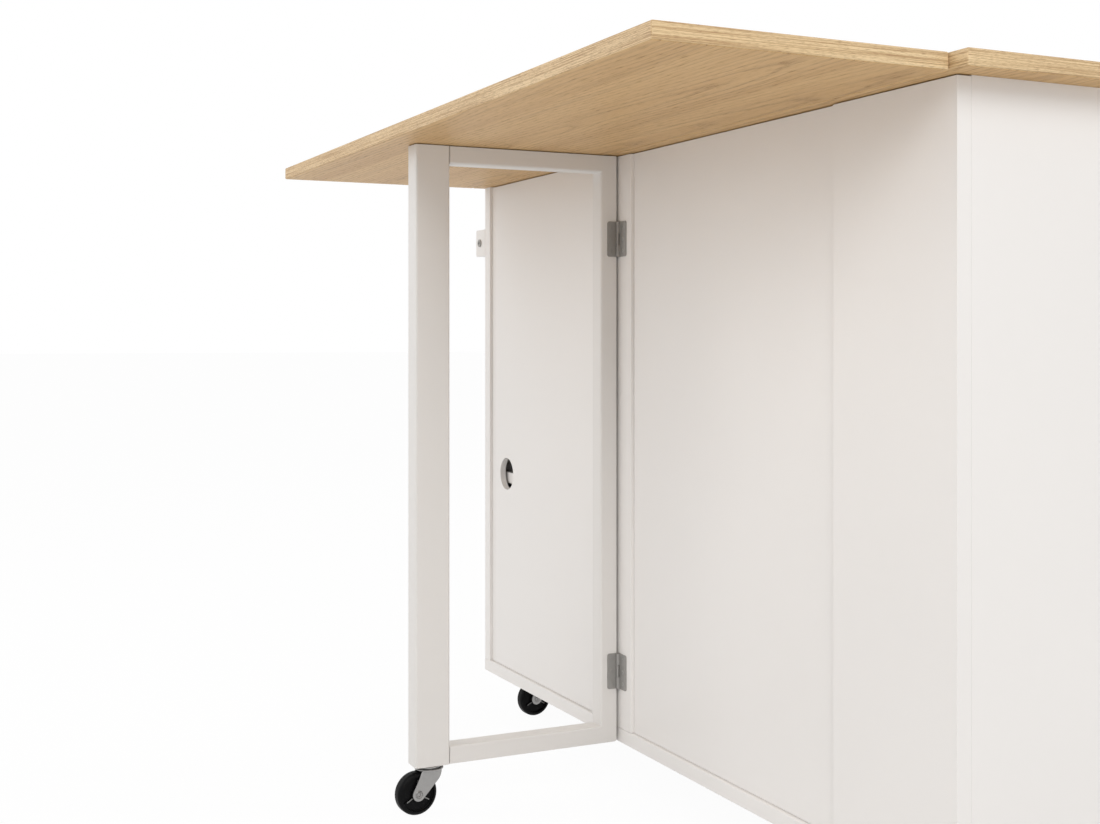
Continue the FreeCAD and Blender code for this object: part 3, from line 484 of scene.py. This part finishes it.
def white_board(node, soft_edges, radius, body="cabinet", finish=CABINET_WHITE):
    """A board with some edges rounded and the others only eased."""
    low, high = board_box(node)
    shape = cuboid(low, high)
    if soft_edges:
        rounded(shape, radius, lambda edge: soft_edges(edge, low, high))
    rounded(shape, EASED, segments=2)
    finished(node + "_painted", shape, [finish], body, [node])


for node, soft_edges in {
    "bottom_board": along(X, Y),
    "right_side": along(Z, side=X),
    "left_side": along(Z, side=Y, high_side=False),
    "back_stile": along(Z, side=Y),
    "back_end_board": None,
    "back_panel_left": None,
    "divider": None,
    "drawer_rail_wide": None,
    "drawer_rail_narrow": None,
    "shelf_wide": along(X, side=Y, high_side=False),
    "shelf_narrow": along(X, side=Y, high_side=False),
}.items():
    white_board(node, soft_edges, BOARD_ROUND)


def cable_panel():
    """The back panel with the round hole, its rim eased on both faces."""
    node = "back_panel_right"
    low, high = board_box(node)
    rim = [vert.co for vert in nodes[node].data.vertices
           if low.x + MM < vert.co.x < high.x - MM and low.z + MM < vert.co.z < high.z - MM]
    left, right = min(point.x for point in rim), max(point.x for point in rim)
    hole_z = (min(point.z for point in rim) + max(point.z for point in rim)) / 2
    outline = rectangle(high.x - low.x, high.z - low.z)
    hole = circle((left + right) / 2 - low.x, hole_z - low.z, (right - left) / 2, 64)
    shape = rounded(slab(outline, high.y - low.y, [hole]), RIM_ROUND, segments=2)
    moved(shape, at(low.x, high.y, low.z, 90, "X"))
    finished(node + "_painted", shape, [CABINET_WHITE], "cabinet", [node])


cable_panel()


# ---- gate leg ---------------------------------------------------------------------------------

LEG_ROUND = 3.5 * MM
POST_JOINT = 0.5 * MM

white_board("gate_outer_post", along(Z), LEG_ROUND, "gate", LEG_WHITE_PAINTED_SHADE)


def gate_frame():
    """The hinge post and both rails, filled and painted as one, soft along the window."""
    post_low, post_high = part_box("gate_hinge_post")
    rail_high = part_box("gate_bottom_rail")[1]
    top_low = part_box("gate_top_rail")[0]
    end = rail_high.y - POST_JOINT
    outline = [(post_low.y, post_low.z), (end, post_low.z), (end, rail_high.z),
               (post_high.y, rail_high.z), (post_high.y, top_low.z), (end, top_low.z),
               (end, post_high.z), (post_low.y, post_high.z)]
    shape = slab(outline, post_high.x - post_low.x, corners={0: LEG_ROUND})

    def on_window(point):
        across = abs(point.x - post_high.y) < NEAR
        level = min(abs(point.y - rail_high.z), abs(point.y - top_low.z)) < NEAR
        return across or level

    def beside_window(edge):
        first, second = (vert.co for vert in edge.verts)
        flat = abs(first.z - second.z) < NEAR
        return flat and on_window(first) and on_window(second)

    rounded(shape, LEG_ROUND, beside_window, segments=4)
    rounded(shape, EASED, segments=2)
    # Drawn flat with Y and Z to the right and up, and then stood up to grow along X.
    upright = Matrix(((0, 0, 1, post_low.x), (1, 0, 0, 0), (0, 1, 0, 0), (0, 0, 0, 1)))
    moved(shape, upright)
    finished("gate_frame_painted", shape, [LEG_WHITE_PAINTED_SHADE], "gate",
             ["gate_hinge_post", "gate_bottom_rail", "gate_top_rail"])


gate_frame()


# ---- screws and butt hinges -------------------------------------------------------------------

SCREW_RADIUS = 3.0 * MM
SCREW_HEIGHT = 1.0 * MM
SCREW_ROUND = 0.35 * MM
CROSS_REACH = 1.7 * MM
CROSS_HALF = 0.38 * MM
CROSS_FLOOR = 0.25 * MM


def screw_head():
    """A pan head with a cross recess, its seat at Z = 0."""
    quarter = [(CROSS_REACH, -CROSS_HALF), (CROSS_REACH, CROSS_HALF), (CROSS_HALF, CROSS_HALF)]
    cross = [(x * cosine - y * sine, x * sine + y * cosine)
             for cosine, sine in ((1, 0), (0, 1), (-1, 0), (0, -1)) for x, y in quarter]
    head = slab(circle(0, 0, SCREW_RADIUS), SCREW_HEIGHT, [cross])

    def on_outer_rim(vert):
        outside = vert.co.xy.length > (SCREW_RADIUS + CROSS_REACH) / 2
        return outside and vert.co.z > SCREW_HEIGHT / 2

    rounded(head, SCREW_ROUND, lambda edge: sharp(edge) and all(map(on_outer_rim, edge.verts)))
    floor = slab(circle(0, 0, 0.9 * SCREW_RADIUS, 16), CROSS_FLOOR)
    return joined([head, floor])


HINGE_HEIGHT = 50 * MM
HINGE_SHEET = 1.5 * MM
HINGE_CORNER = 3 * MM
HINGE_EASED = 0.2 * MM
KNUCKLE_ROUND = 0.3 * MM
KNUCKLE_PLAY = 0.05 * MM
BEND_FOOT = 1.0 * MM
ENDS = ((0.0, 0.330), (0.670, 1.0))
MIDDLE = ((0.337, 0.663),)
SCREW_SHARES = (-1 / 3, 0, 1 / 3)
SCREW_SUNK = 0.7 * MM
BARREL_INSET = 0.6 * MM


def hinge_plate(width):
    """A leaf's plate from X = 0 outwards, centred in Y, with its outer corners rounded."""
    half = HINGE_HEIGHT / 2
    outline = [(0, -half), (width, -half), (width, half), (0, half)]
    plate = slab(outline, HINGE_SHEET, corners={2: HINGE_CORNER, 1: HINGE_CORNER})
    return rounded(plate, HINGE_EASED, segments=2,
                   test=lambda edge: sharp(edge) and not on_side(edge, X, 0))


def knuckles(radius, rows):
    """Stretches of a hinge's barrel about Z, given as shares of its height."""
    soft = KNUCKLE_ROUND
    shapes = []
    for first, last in rows:
        low, high = (first - 0.5) * HINGE_HEIGHT, (last - 0.5) * HINGE_HEIGHT
        shapes.append(turned([(0, low), (radius - soft, low), (radius, low + soft),
                              (radius, high - soft), (radius - soft, high), (0, high)], steps=24))
    return shapes


def swells(radius, from_pin, rise, rows):
    """Where a leaf's sheet bends up into its knuckles; the pin is at X = -from_pin, Z = rise."""
    turn = touching_turn(BEND_FOOT, HINGE_SHEET, -from_pin, rise, radius, 1)
    crest = (radius * math.cos(turn) - from_pin, rise + radius * math.sin(turn))
    outline = [(0, 0), (BEND_FOOT, 0), (BEND_FOOT, HINGE_SHEET), crest, (-from_pin, rise)]
    return [moved(slab(outline, (last - first) * HINGE_HEIGHT),
                  at(0, (last - 0.5) * HINGE_HEIGHT, 0, 90, "X"))
            for first, last in rows]


def gate_hinges():
    """The two steel butt hinges: a leaf on the stile, one on the gate's post, and the screws."""
    axis_x, axis_y = joints["gate_swing"]["pos_m"][:2]
    fixed_low, fixed_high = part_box("gate_hinge_fixed_leaves")
    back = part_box("back_stile")[1].y
    post_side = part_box("gate_hinge_post")[0].x
    width = axis_x - fixed_low.x
    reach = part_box("gate_hinge_moving_leaves")[1].y - axis_y
    radius = fixed_high.x - axis_x - BARREL_INSET
    rise = axis_y - back
    from_pin = math.sqrt(radius ** 2 - (rise - HINGE_SHEET) ** 2) + KNUCKLE_PLAY
    screw_seat = HINGE_SHEET - SCREW_SUNK
    fixed, moving, fixed_screws, moving_screws = [], [], [], []
    for z in (fixed_low.z + HINGE_HEIGHT / 2, fixed_high.z - HINGE_HEIGHT / 2):
        barrel = at(axis_x, axis_y, z)
        # A plate's X, Y and Z turn to -X, Z and Y on the stile, and to Y, Z and -X on the post.
        lying = Matrix(((-1, 0, 0, axis_x - from_pin), (0, 0, 1, back), (0, 1, 0, z),
                        (0, 0, 0, 1)))
        standing = Matrix(((0, 0, -1, post_side), (1, 0, 0, axis_y + from_pin), (0, 1, 0, z),
                           (0, 0, 0, 1)))
        bends = swells(radius, from_pin, rise, ENDS)
        fixed += [moved(part, lying) for part in (hinge_plate(width - from_pin), *bends)]
        fixed += [moved(part, barrel) for part in knuckles(radius, ENDS)]
        moving.append(moved(hinge_plate(reach - from_pin), standing))
        moving += [moved(part, barrel) for part in knuckles(radius, MIDDLE)]
        for share in SCREW_SHARES:
            level = z + share * HINGE_HEIGHT
            fixed_screws.append(moved(screw_head(), at(
                axis_x - (radius + width) / 2, back + screw_seat, level, -90, "X")))
            moving_screws.append(moved(screw_head(), at(
                post_side - screw_seat, axis_y + (radius + reach) / 2, level, -90, "Y")))
    finished("gate_hinges_stile_side", joined(fixed), [HINGE_STEEL], "cabinet",
             ["gate_hinge_fixed_leaves"])
    finished("gate_hinges_post_side", joined(moving), [HINGE_STEEL], "gate",
             ["gate_hinge_moving_leaves"])
    finished("gate_screw_heads", joined(moving_screws), [HINGE_STEEL], "gate",
             ["gate_screws"])
    return fixed_screws


stile_screws = gate_hinges()


# ---- doors and drawers ------------------------------------------------------------------------

DOOR_FRAME = 58 * MM
DOOR_RECESS = 6 * MM
FRONT_ROUND = 1.4 * MM
PULL_BEND = 3 * MM
PULL_ROUND = 1.0 * MM
DRAWER_WALL = 12 * MM
DRAWER_FLOOR_TOP = 14 * MM
DRAWER_FLOOR_RISE = 8 * MM
DRAWER_ROUND = 0.8 * MM


def sunk(shape, face, margin, depth):
    """Insets a face by the margin and sinks what is left of it by the depth."""
    bmesh.ops.inset_region(shape, faces=[face], thickness=margin, use_even_offset=True)
    floor = bmesh.ops.extrude_discrete_faces(shape, faces=[face])["faces"][0]
    bmesh.ops.translate(shape, vec=-depth * floor.normal, verts=floor.verts)


def facing(shape, x, y, z):
    return max(shape.faces, key=lambda face: face.normal.dot(Vector((x, y, z))))


def front(node, body, framed):
    shape = cuboid(*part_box(node))
    if framed:
        sunk(shape, facing(shape, 0, -1, 0), DOOR_FRAME, DOOR_RECESS)
    rounded(shape, FRONT_ROUND)
    finished(node + "_painted", shape, [CABINET_WHITE], body, [node])


def pull(node, body):
    """A square bar bent to a bow, with soft edges."""
    low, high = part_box(node)
    size = high - low
    upright = size.z > size.x
    half = max(size.x, size.z) / 2
    thick = min(size.x, size.z)
    inner = half - thick
    reach = size.y
    outline = [(-half, 0), (-half, -reach), (half, -reach), (half, 0), (inner, 0),
               (inner, thick - reach), (-inner, thick - reach), (-inner, 0)]
    shape = slab(outline, thick, corners={2: PULL_BEND, 1: PULL_BEND})
    rounded(shape, PULL_ROUND)
    moved(shape, at(0, 0, -thick / 2))
    turn = Matrix.Rotation(math.radians(90 if upright else 0), 4, "Y")
    middle = (low + high) / 2
    moved(shape, Matrix.Translation((middle.x, high.y, middle.z)) @ turn)
    finished(node + "_bow", shape, [NICKEL], body, [node])


def drawer_box(node, body):
    """An open box of ply, its rim eased, with its floor let in above the lower edge."""
    low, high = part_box(node)
    shape = cuboid(low, high)
    sunk(shape, facing(shape, 0, 0, 1), DRAWER_WALL, high.z - low.z - DRAWER_FLOOR_TOP)
    sunk(shape, facing(shape, 0, 0, -1), DRAWER_WALL, DRAWER_FLOOR_RISE)
    rounded(shape, DRAWER_ROUND, segments=2)
    finished(node + "_ply", shape, [PLY], body, [node])


for side in ("left", "middle", "right"):
    front(f"door_{side}", f"door_{side}", True)
    pull(f"door_{side}_pull", f"door_{side}")
for bay in ("wide", "narrow"):
    front(f"drawer_{bay}_front", f"drawer_{bay}", False)
    pull(f"drawer_{bay}_pull", f"drawer_{bay}")
    drawer_box(f"drawer_{bay}_box", f"drawer_{bay}")


# ---- towel rack -------------------------------------------------------------------------------

RACK_THICK = 18 * MM
RACK_ROUND = 4 * MM
RACK_SCREW_SCALE = 2.2
BAR_ROUND = 0.5 * MM


def towel_rack(screws):
    """Two blocks with a bar between them; their screws are larger than those of the hinges."""
    low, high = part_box("towel_rack_blocks")
    bar_low, bar_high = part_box("towel_bar")
    bar_x = (bar_low.x + bar_high.x) / 2
    bar_z = (bar_low.z + bar_high.z) / 2
    width, height = high.x - low.x, high.z - low.z
    blocks, heads = [], []
    for outside, inwards in ((high.y, -1), (low.y, 1)):
        block = slab(rectangle(width, height), RACK_THICK)
        rounded(block, RACK_ROUND,
                lambda edge: sharp(edge) and runs(edge, Z) and on_side(edge, X, width))
        rounded(block, RIM_ROUND, segments=2)
        back_y = max(outside, outside + inwards * RACK_THICK)
        blocks.append(moved(block, at(low.x, back_y, low.z, 90, "X")))
        head = screw_head()
        for face in head.faces:
            face.material_index = 1
        seat = at(bar_x, outside, bar_z, 90 * inwards, "X") @ Matrix.Scale(RACK_SCREW_SCALE, 4)
        heads.append(moved(head, seat))
    finished("towel_rack_blocks_painted", joined(blocks), [CABINET_WHITE], "cabinet",
             ["towel_rack_blocks"])
    radius = (bar_high.x - bar_low.x) / 2
    length = bar_high.y - bar_low.y
    bar = turned([(0, 0), (radius - BAR_ROUND, 0), (radius, BAR_ROUND),
                  (radius, length - BAR_ROUND), (radius - BAR_ROUND, length), (0, length)])
    moved(bar, at(bar_x, bar_high.y, bar_z, 90, "X"))
    finished("towel_bar_brushed", bar, [NICKEL], "cabinet", ["towel_bar"])
    finished("cabinet_screw_heads", joined(screws + heads), [ZINC, HINGE_STEEL], "cabinet",
             ["cabinet_screws"])


towel_rack(stile_screws)


# ---- casters ----------------------------------------------------------------------------------

SHEET = 1.8 * MM
CROWN_RADIUS = 19.4 * MM
CROWN_BORE = 4.1 * MM
CROWN_SOFT = 0.3 * MM
CROWN_TOP_DROP = 0.4 * MM
CROWN_TOP_INSET = 0.5 * MM
CROWN_PLAY = 0.3 * MM
FORK_FRONT = 14 * MM
FORK_BACK = 13 * MM
FORK_SHOULDER = 11 * MM
FORK_BEND = 7 * MM
FORK_END = 9 * MM
FORK_INSIDE = 18.8 * MM
FORK_OUTSIDE = FORK_INSIDE + 2 * SHEET
FORK_ROUND = 0.55 * MM
AXLE_RADIUS = 3 * MM
WHEEL_HALF = 9 * MM
WHEEL_HUB = 8.5 * MM
WHEEL_RIM = 23 * MM
WHEEL_WEB = 5 * MM
WHEEL_BORE = 3.05 * MM
WHEEL_SOFT = 0.8 * MM
HUB_FLARE = 1.4 * MM
GROOVE_DROP = 0.2 * MM
GROOVE_INNER = 0.3 * MM
GROOVE_OUTER = 0.9 * MM
TREAD_ROUND = 5.5 * MM
RIB_TURNS = (90, 210, 330)
RIB_HALF = 0.8 * MM
RIB_ROUND = 0.3 * MM
RIB_ROOT = 0.5 * MM
# The tall inner part of each rib, out to this radius and this far below the face, carries the
# painted highlight on its top.
HIGHLIGHT_RIB_END = 18.8 * MM
HIGHLIGHT_RIB_DROP = 0.9 * MM
BLACK_DROP = 2.4 * MM
RACE_RADIUS = 16.5 * MM
NECK_RADIUS = 11.5 * MM
CUP_RADIUS = 14.0 * MM
WASHER_TOP = 0.5 * MM
WASHER_LOW = 2.1 * MM
WASHER_SOFT = 0.4 * MM
STEM_RADIUS = 4 * MM
STEM_LENGTH = 17 * MM
STEM_CHAMFER = 0.6 * MM
# Rings of turned forms: each has a radius and a height above or below a given level, in mm.
RIVET_RINGS = ((0, 0.1), (1.5, 0.1), (2.3, 1.5), (3.2, 1.5), (3.9, 0.2), (4.5, 0.2), (5.0, 0.8),
               (5.5, 0.3), (5.5, 0), (0, 0))
KING_PIN_RINGS = ((6.4, 0), (7, -0.5), (6.2, -1.2), (0, -1.4))
CASTERS = ("back_right", "back_left", "front_right", "front_left", "gate")


def ring_points(profile, level=0.0):
    return [(radius * MM, level + height * MM) for radius, height in profile]


def caster_wheel(radius):
    """
    A moulded wheel about Z: rounded tread, deep recesses and three ribs on each side, with
    a painted highlight in light grey on their narrow tops.
    """
    half, hub, rim, web, soft = WHEEL_HALF, WHEEL_HUB, WHEEL_RIM, WHEEL_WEB, WHEEL_SOFT
    side = [(WHEEL_BORE, half), (hub, half), (hub + soft, half - soft), (hub + HUB_FLARE, web),
            (rim - soft, web), (rim, web + soft), (rim, half - soft),
            (rim + GROOVE_INNER, half - GROOVE_DROP), (rim + GROOVE_OUTER, half)]
    shoulder = arc(radius - TREAD_ROUND, half - TREAD_ROUND, TREAD_ROUND, math.pi / 2, 0, 7)
    upper = side + shoulder
    lower = [(distance, -height) for distance, height in reversed(upper)]
    wheel = [turned(upper + lower, closed=True, steps=72)]
    painted_highlight_from = half - (HIGHLIGHT_RIB_DROP + BLACK_DROP) / 2
    for turn in RIB_TURNS:
        for towards in (1, -1):
            for end, drop in ((HIGHLIGHT_RIB_END, HIGHLIGHT_RIB_DROP), (rim + RIB_ROOT, BLACK_DROP)):
                near, far = sorted((towards * (web - RIB_ROOT), towards * (half - drop)))
                rib = cuboid(Vector((hub, -RIB_HALF, near)), Vector((end, RIB_HALF, far)))
                rounded(rib, RIB_ROUND, segments=2)
                for face in rib.faces:
                    # Faces near the top of each tall rib take the light grey: a painted
                    # highlight.
                    face.material_index = face.calc_center_median().z * towards > painted_highlight_from
                wheel.append(moved(rib, Matrix.Rotation(math.radians(turn), 4, "Z")))
    return joined(wheel)


def rivet_head():
    """A rivet's rolled head: a struck dimple, a raised ring and a low rim, seat at Z = 0."""
    return turned(ring_points(RIVET_RINGS))


def fork(trail, axle_z, crown_top):
    """Two pressed legs under a round crown, with a riveted axle; X runs along the trail."""
    shoulder = crown_top - FORK_SHOULDER
    front_turn = touching_turn(-FORK_FRONT, shoulder, trail, axle_z, FORK_END, 1)
    back_turn = touching_turn(FORK_BACK, crown_top, trail, axle_z, FORK_END, -1)
    outline = [(-FORK_FRONT, crown_top), (-FORK_FRONT, shoulder),
               *arc(trail, axle_z, FORK_END, front_turn, back_turn + 2 * math.pi, 14),
               (FORK_BACK, crown_top)]
    parts = []
    for side in (1, -1):
        leg = slab(outline, SHEET, corners={1: FORK_BEND})
        rounded(leg, FORK_ROUND, segments=2)
        outer = FORK_OUTSIDE / 2 if side > 0 else -FORK_INSIDE / 2
        parts.append(moved(leg, at(0, outer, 0, 90, "X")))
        rivet_place = at(trail, side * FORK_OUTSIDE / 2, axle_z, -90 * side, "X")
        parts.append(moved(rivet_head(), rivet_place))
    low, soft = crown_top - SHEET, CROWN_SOFT
    parts.append(turned([(CROWN_BORE, low), (CROWN_RADIUS - soft, low),
                         (CROWN_RADIUS, low + soft), (CROWN_RADIUS, crown_top - CROWN_TOP_DROP),
                         (CROWN_RADIUS - CROWN_TOP_INSET, crown_top), (CROWN_BORE, crown_top)],
                        closed=True))
    half = FORK_OUTSIDE / 2
    axle = turned([(0, -half), (AXLE_RADIUS, -half), (AXLE_RADIUS, half), (0, half)], steps=24)
    parts.append(moved(axle, at(trail, 0, axle_z, 90, "X")))
    return joined(parts)


def stem(seat, crown_top):
    """The threaded stem, a washer between two dark grooves, the lower cup and a king pin."""
    cup_low = crown_top + CROWN_PLAY
    washer_top, washer_low = seat - WASHER_TOP, seat - WASHER_LOW
    stem_top = seat + STEM_LENGTH
    pin = crown_top - SHEET - CROWN_PLAY
    return turned([
        (0, stem_top), (STEM_RADIUS - STEM_CHAMFER, stem_top),
        (STEM_RADIUS, stem_top - STEM_CHAMFER), (STEM_RADIUS, seat),
        (NECK_RADIUS, seat), (NECK_RADIUS, washer_top),
        (RACE_RADIUS - WASHER_SOFT, washer_top), (RACE_RADIUS, washer_top - WASHER_SOFT),
        (RACE_RADIUS, washer_low + WASHER_SOFT), (RACE_RADIUS - WASHER_SOFT, washer_low),
        (CUP_RADIUS, washer_low), (CUP_RADIUS, cup_low), (STEM_RADIUS, cup_low),
        (STEM_RADIUS, pin), *ring_points(KING_PIN_RINGS, pin)])


def caster(name):
    """Makes a caster's wheel and fork, and gives back the stem and ball race they turn on."""
    turn_place = Vector(joints[f"caster_{name}_turn"]["pos_m"])
    roll_place = Vector(joints[f"caster_{name}_roll"]["pos_m"])
    offset = roll_place - turn_place
    trail = offset.xy.length
    radius = roll_place.z
    crown_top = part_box(f"caster_{name}_fork")[1].z
    heading = math.degrees(math.atan2(offset.y, offset.x))
    stand = at(turn_place.x, turn_place.y, 0, heading)
    wheel = moved(caster_wheel(radius), at(trail, 0, radius, 90, "X"))
    finished(f"caster_{name}_wheel_moulded", moved(wheel, stand), [BLACK, RIB_PAINTED_HIGHLIGHT],
             f"caster_{name}_roller", [f"caster_{name}_wheel"])
    pressed = fork(trail, radius, crown_top)
    finished(f"caster_{name}_fork_pressed", moved(pressed, stand), [FORK_STEEL],
             f"caster_{name}_swivel", [f"caster_{name}_fork"])
    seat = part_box("gate_outer_post" if name == "gate" else "bottom_board")[0].z
    return moved(stem(seat, crown_top), at(turn_place.x, turn_place.y, 0))


stems = {name: caster(name) for name in CASTERS}
finished("gate_caster_race", stems.pop("gate"), [ZINC], "gate",
         ["gate_caster_stem"])
finished("caster_races", joined(stems.values()), [ZINC], "cabinet",
         ["caster_stems"])


# ---- pieces that stay as they are -------------------------------------------------------------

for node, material in {
    "top_rails": CABINET_WHITE,
    "leaf_hinge_housings_top": ZINC,
    "leaf_hinge_housings_leaf": ZINC,
    "leaf_hinge_links": ZINC,
    "shelf_pins": ZINC,
    "cabinet_runners": ZINC,
    "drawer_wide_runners": ZINC,
    "drawer_narrow_runners": ZINC,
    "door_hinge_fixed_leaves": ZINC,
    "door_left_hinge_leaves": ZINC,
    "door_middle_hinge_leaves": ZINC,
    "door_right_hinge_leaves": ZINC,
}.items():
    nodes[node].data.materials.clear()
    nodes[node].data.materials.append(material)


# ---- floor, light and camera ------------------------------------------------------------------

FLOOR_SHOWN = 0.96
FLOOR_HALF = 60.0
AMBIENT = 0.65
TABLE_MIDDLE = Vector((0.0, 0.0, 0.45))


def floor_finish():
    """A pale floor that looks white but keeps some of the object's shadow."""
    finish = Finish("studio_floor", {"Base Color": colour(0.86, 0.855, 0.85), "Roughness": 0.9})
    glow = finish.node("Emission", {}, {"Color": colour(1, 1, 1), "Strength": 1.0})
    mixed = finish.node("MixShader", {}, {
        0: finish.seen() * FLOOR_SHOWN, 1: Socket(finish, finish.shader.outputs[0]), 2: glow})
    finish.feed(finish.tree.nodes["Material Output"].inputs["Surface"], mixed)
    return finish.material


def studio_sky():
    """White where it is looked at, and a softer light on the object."""
    world = bpy.data.worlds.new("studio")
    world.use_nodes = True
    sky = Nodes(world.node_tree)
    background = sky.tree.nodes["Background"]
    background.inputs["Color"].default_value = colour(1, 1, 1)
    sky.feed(background.inputs["Strength"], sky.seen() * (1 - AMBIENT) + AMBIENT)
    return world


def studio_floor():
    shape = bmesh.new()
    bmesh.ops.create_grid(shape, x_segments=1, y_segments=1, size=FLOOR_HALF)
    mesh = bpy.data.meshes.new("floor")
    shape.to_mesh(mesh)
    shape.free()
    mesh.materials.append(floor_finish())
    floor = bpy.data.objects.new("floor", mesh)
    bpy.context.scene.collection.objects.link(floor)


studio_floor()
bpy.context.scene.world = studio_sky()


def soft_lamp(name, place, width, watts, tint):
    """A round lamp that points at the middle of the table."""
    data = bpy.data.lights.new(name, "AREA")
    data.shape = "DISK"
    data.size = width
    data.energy = watts
    data.color = tint
    lamp = bpy.data.objects.new(name, data)
    bpy.context.scene.collection.objects.link(lamp)
    lamp.location = place
    lamp.rotation_euler = (TABLE_MIDDLE - Vector(place)).to_track_quat("-Z", "Y").to_euler()


soft_lamp("key", place=(1.5, 3.2, 1.9), width=2.4, watts=34, tint=(1.0, 0.990, 0.978))
soft_lamp("fill", place=(-3.4, 1.1, 2.9), width=2.2, watts=62, tint=(1.0, 0.992, 0.985))
soft_lamp("front", place=(1.0, -3.6, 2.2), width=2.6, watts=50, tint=(1.0, 0.99, 0.98))

# The eye, the way it looks, and the lens and the horizon in pixels of a view 1100 wide.
EYE = Vector((-1.6915, 1.0084, 0.637))
AHEAD = Vector((0.9031, -0.4294, 0.0))
VIEW_WIDTH = 1100
FOCAL = 1432.2
HORIZON_ABOVE_MIDDLE = 74

camera_data = bpy.data.cameras.new("camera")
camera_data.lens = FOCAL * camera_data.sensor_width / VIEW_WIDTH
camera_data.shift_y = -HORIZON_ABOVE_MIDDLE / VIEW_WIDTH
camera = bpy.data.objects.new("camera", camera_data)
bpy.context.scene.collection.objects.link(camera)
camera.location = EYE
camera.rotation_euler = AHEAD.to_track_quat("-Z", "Y").to_euler()
bpy.context.scene.camera = camera
bpy.context.scene.view_settings.view_transform = "Standard"
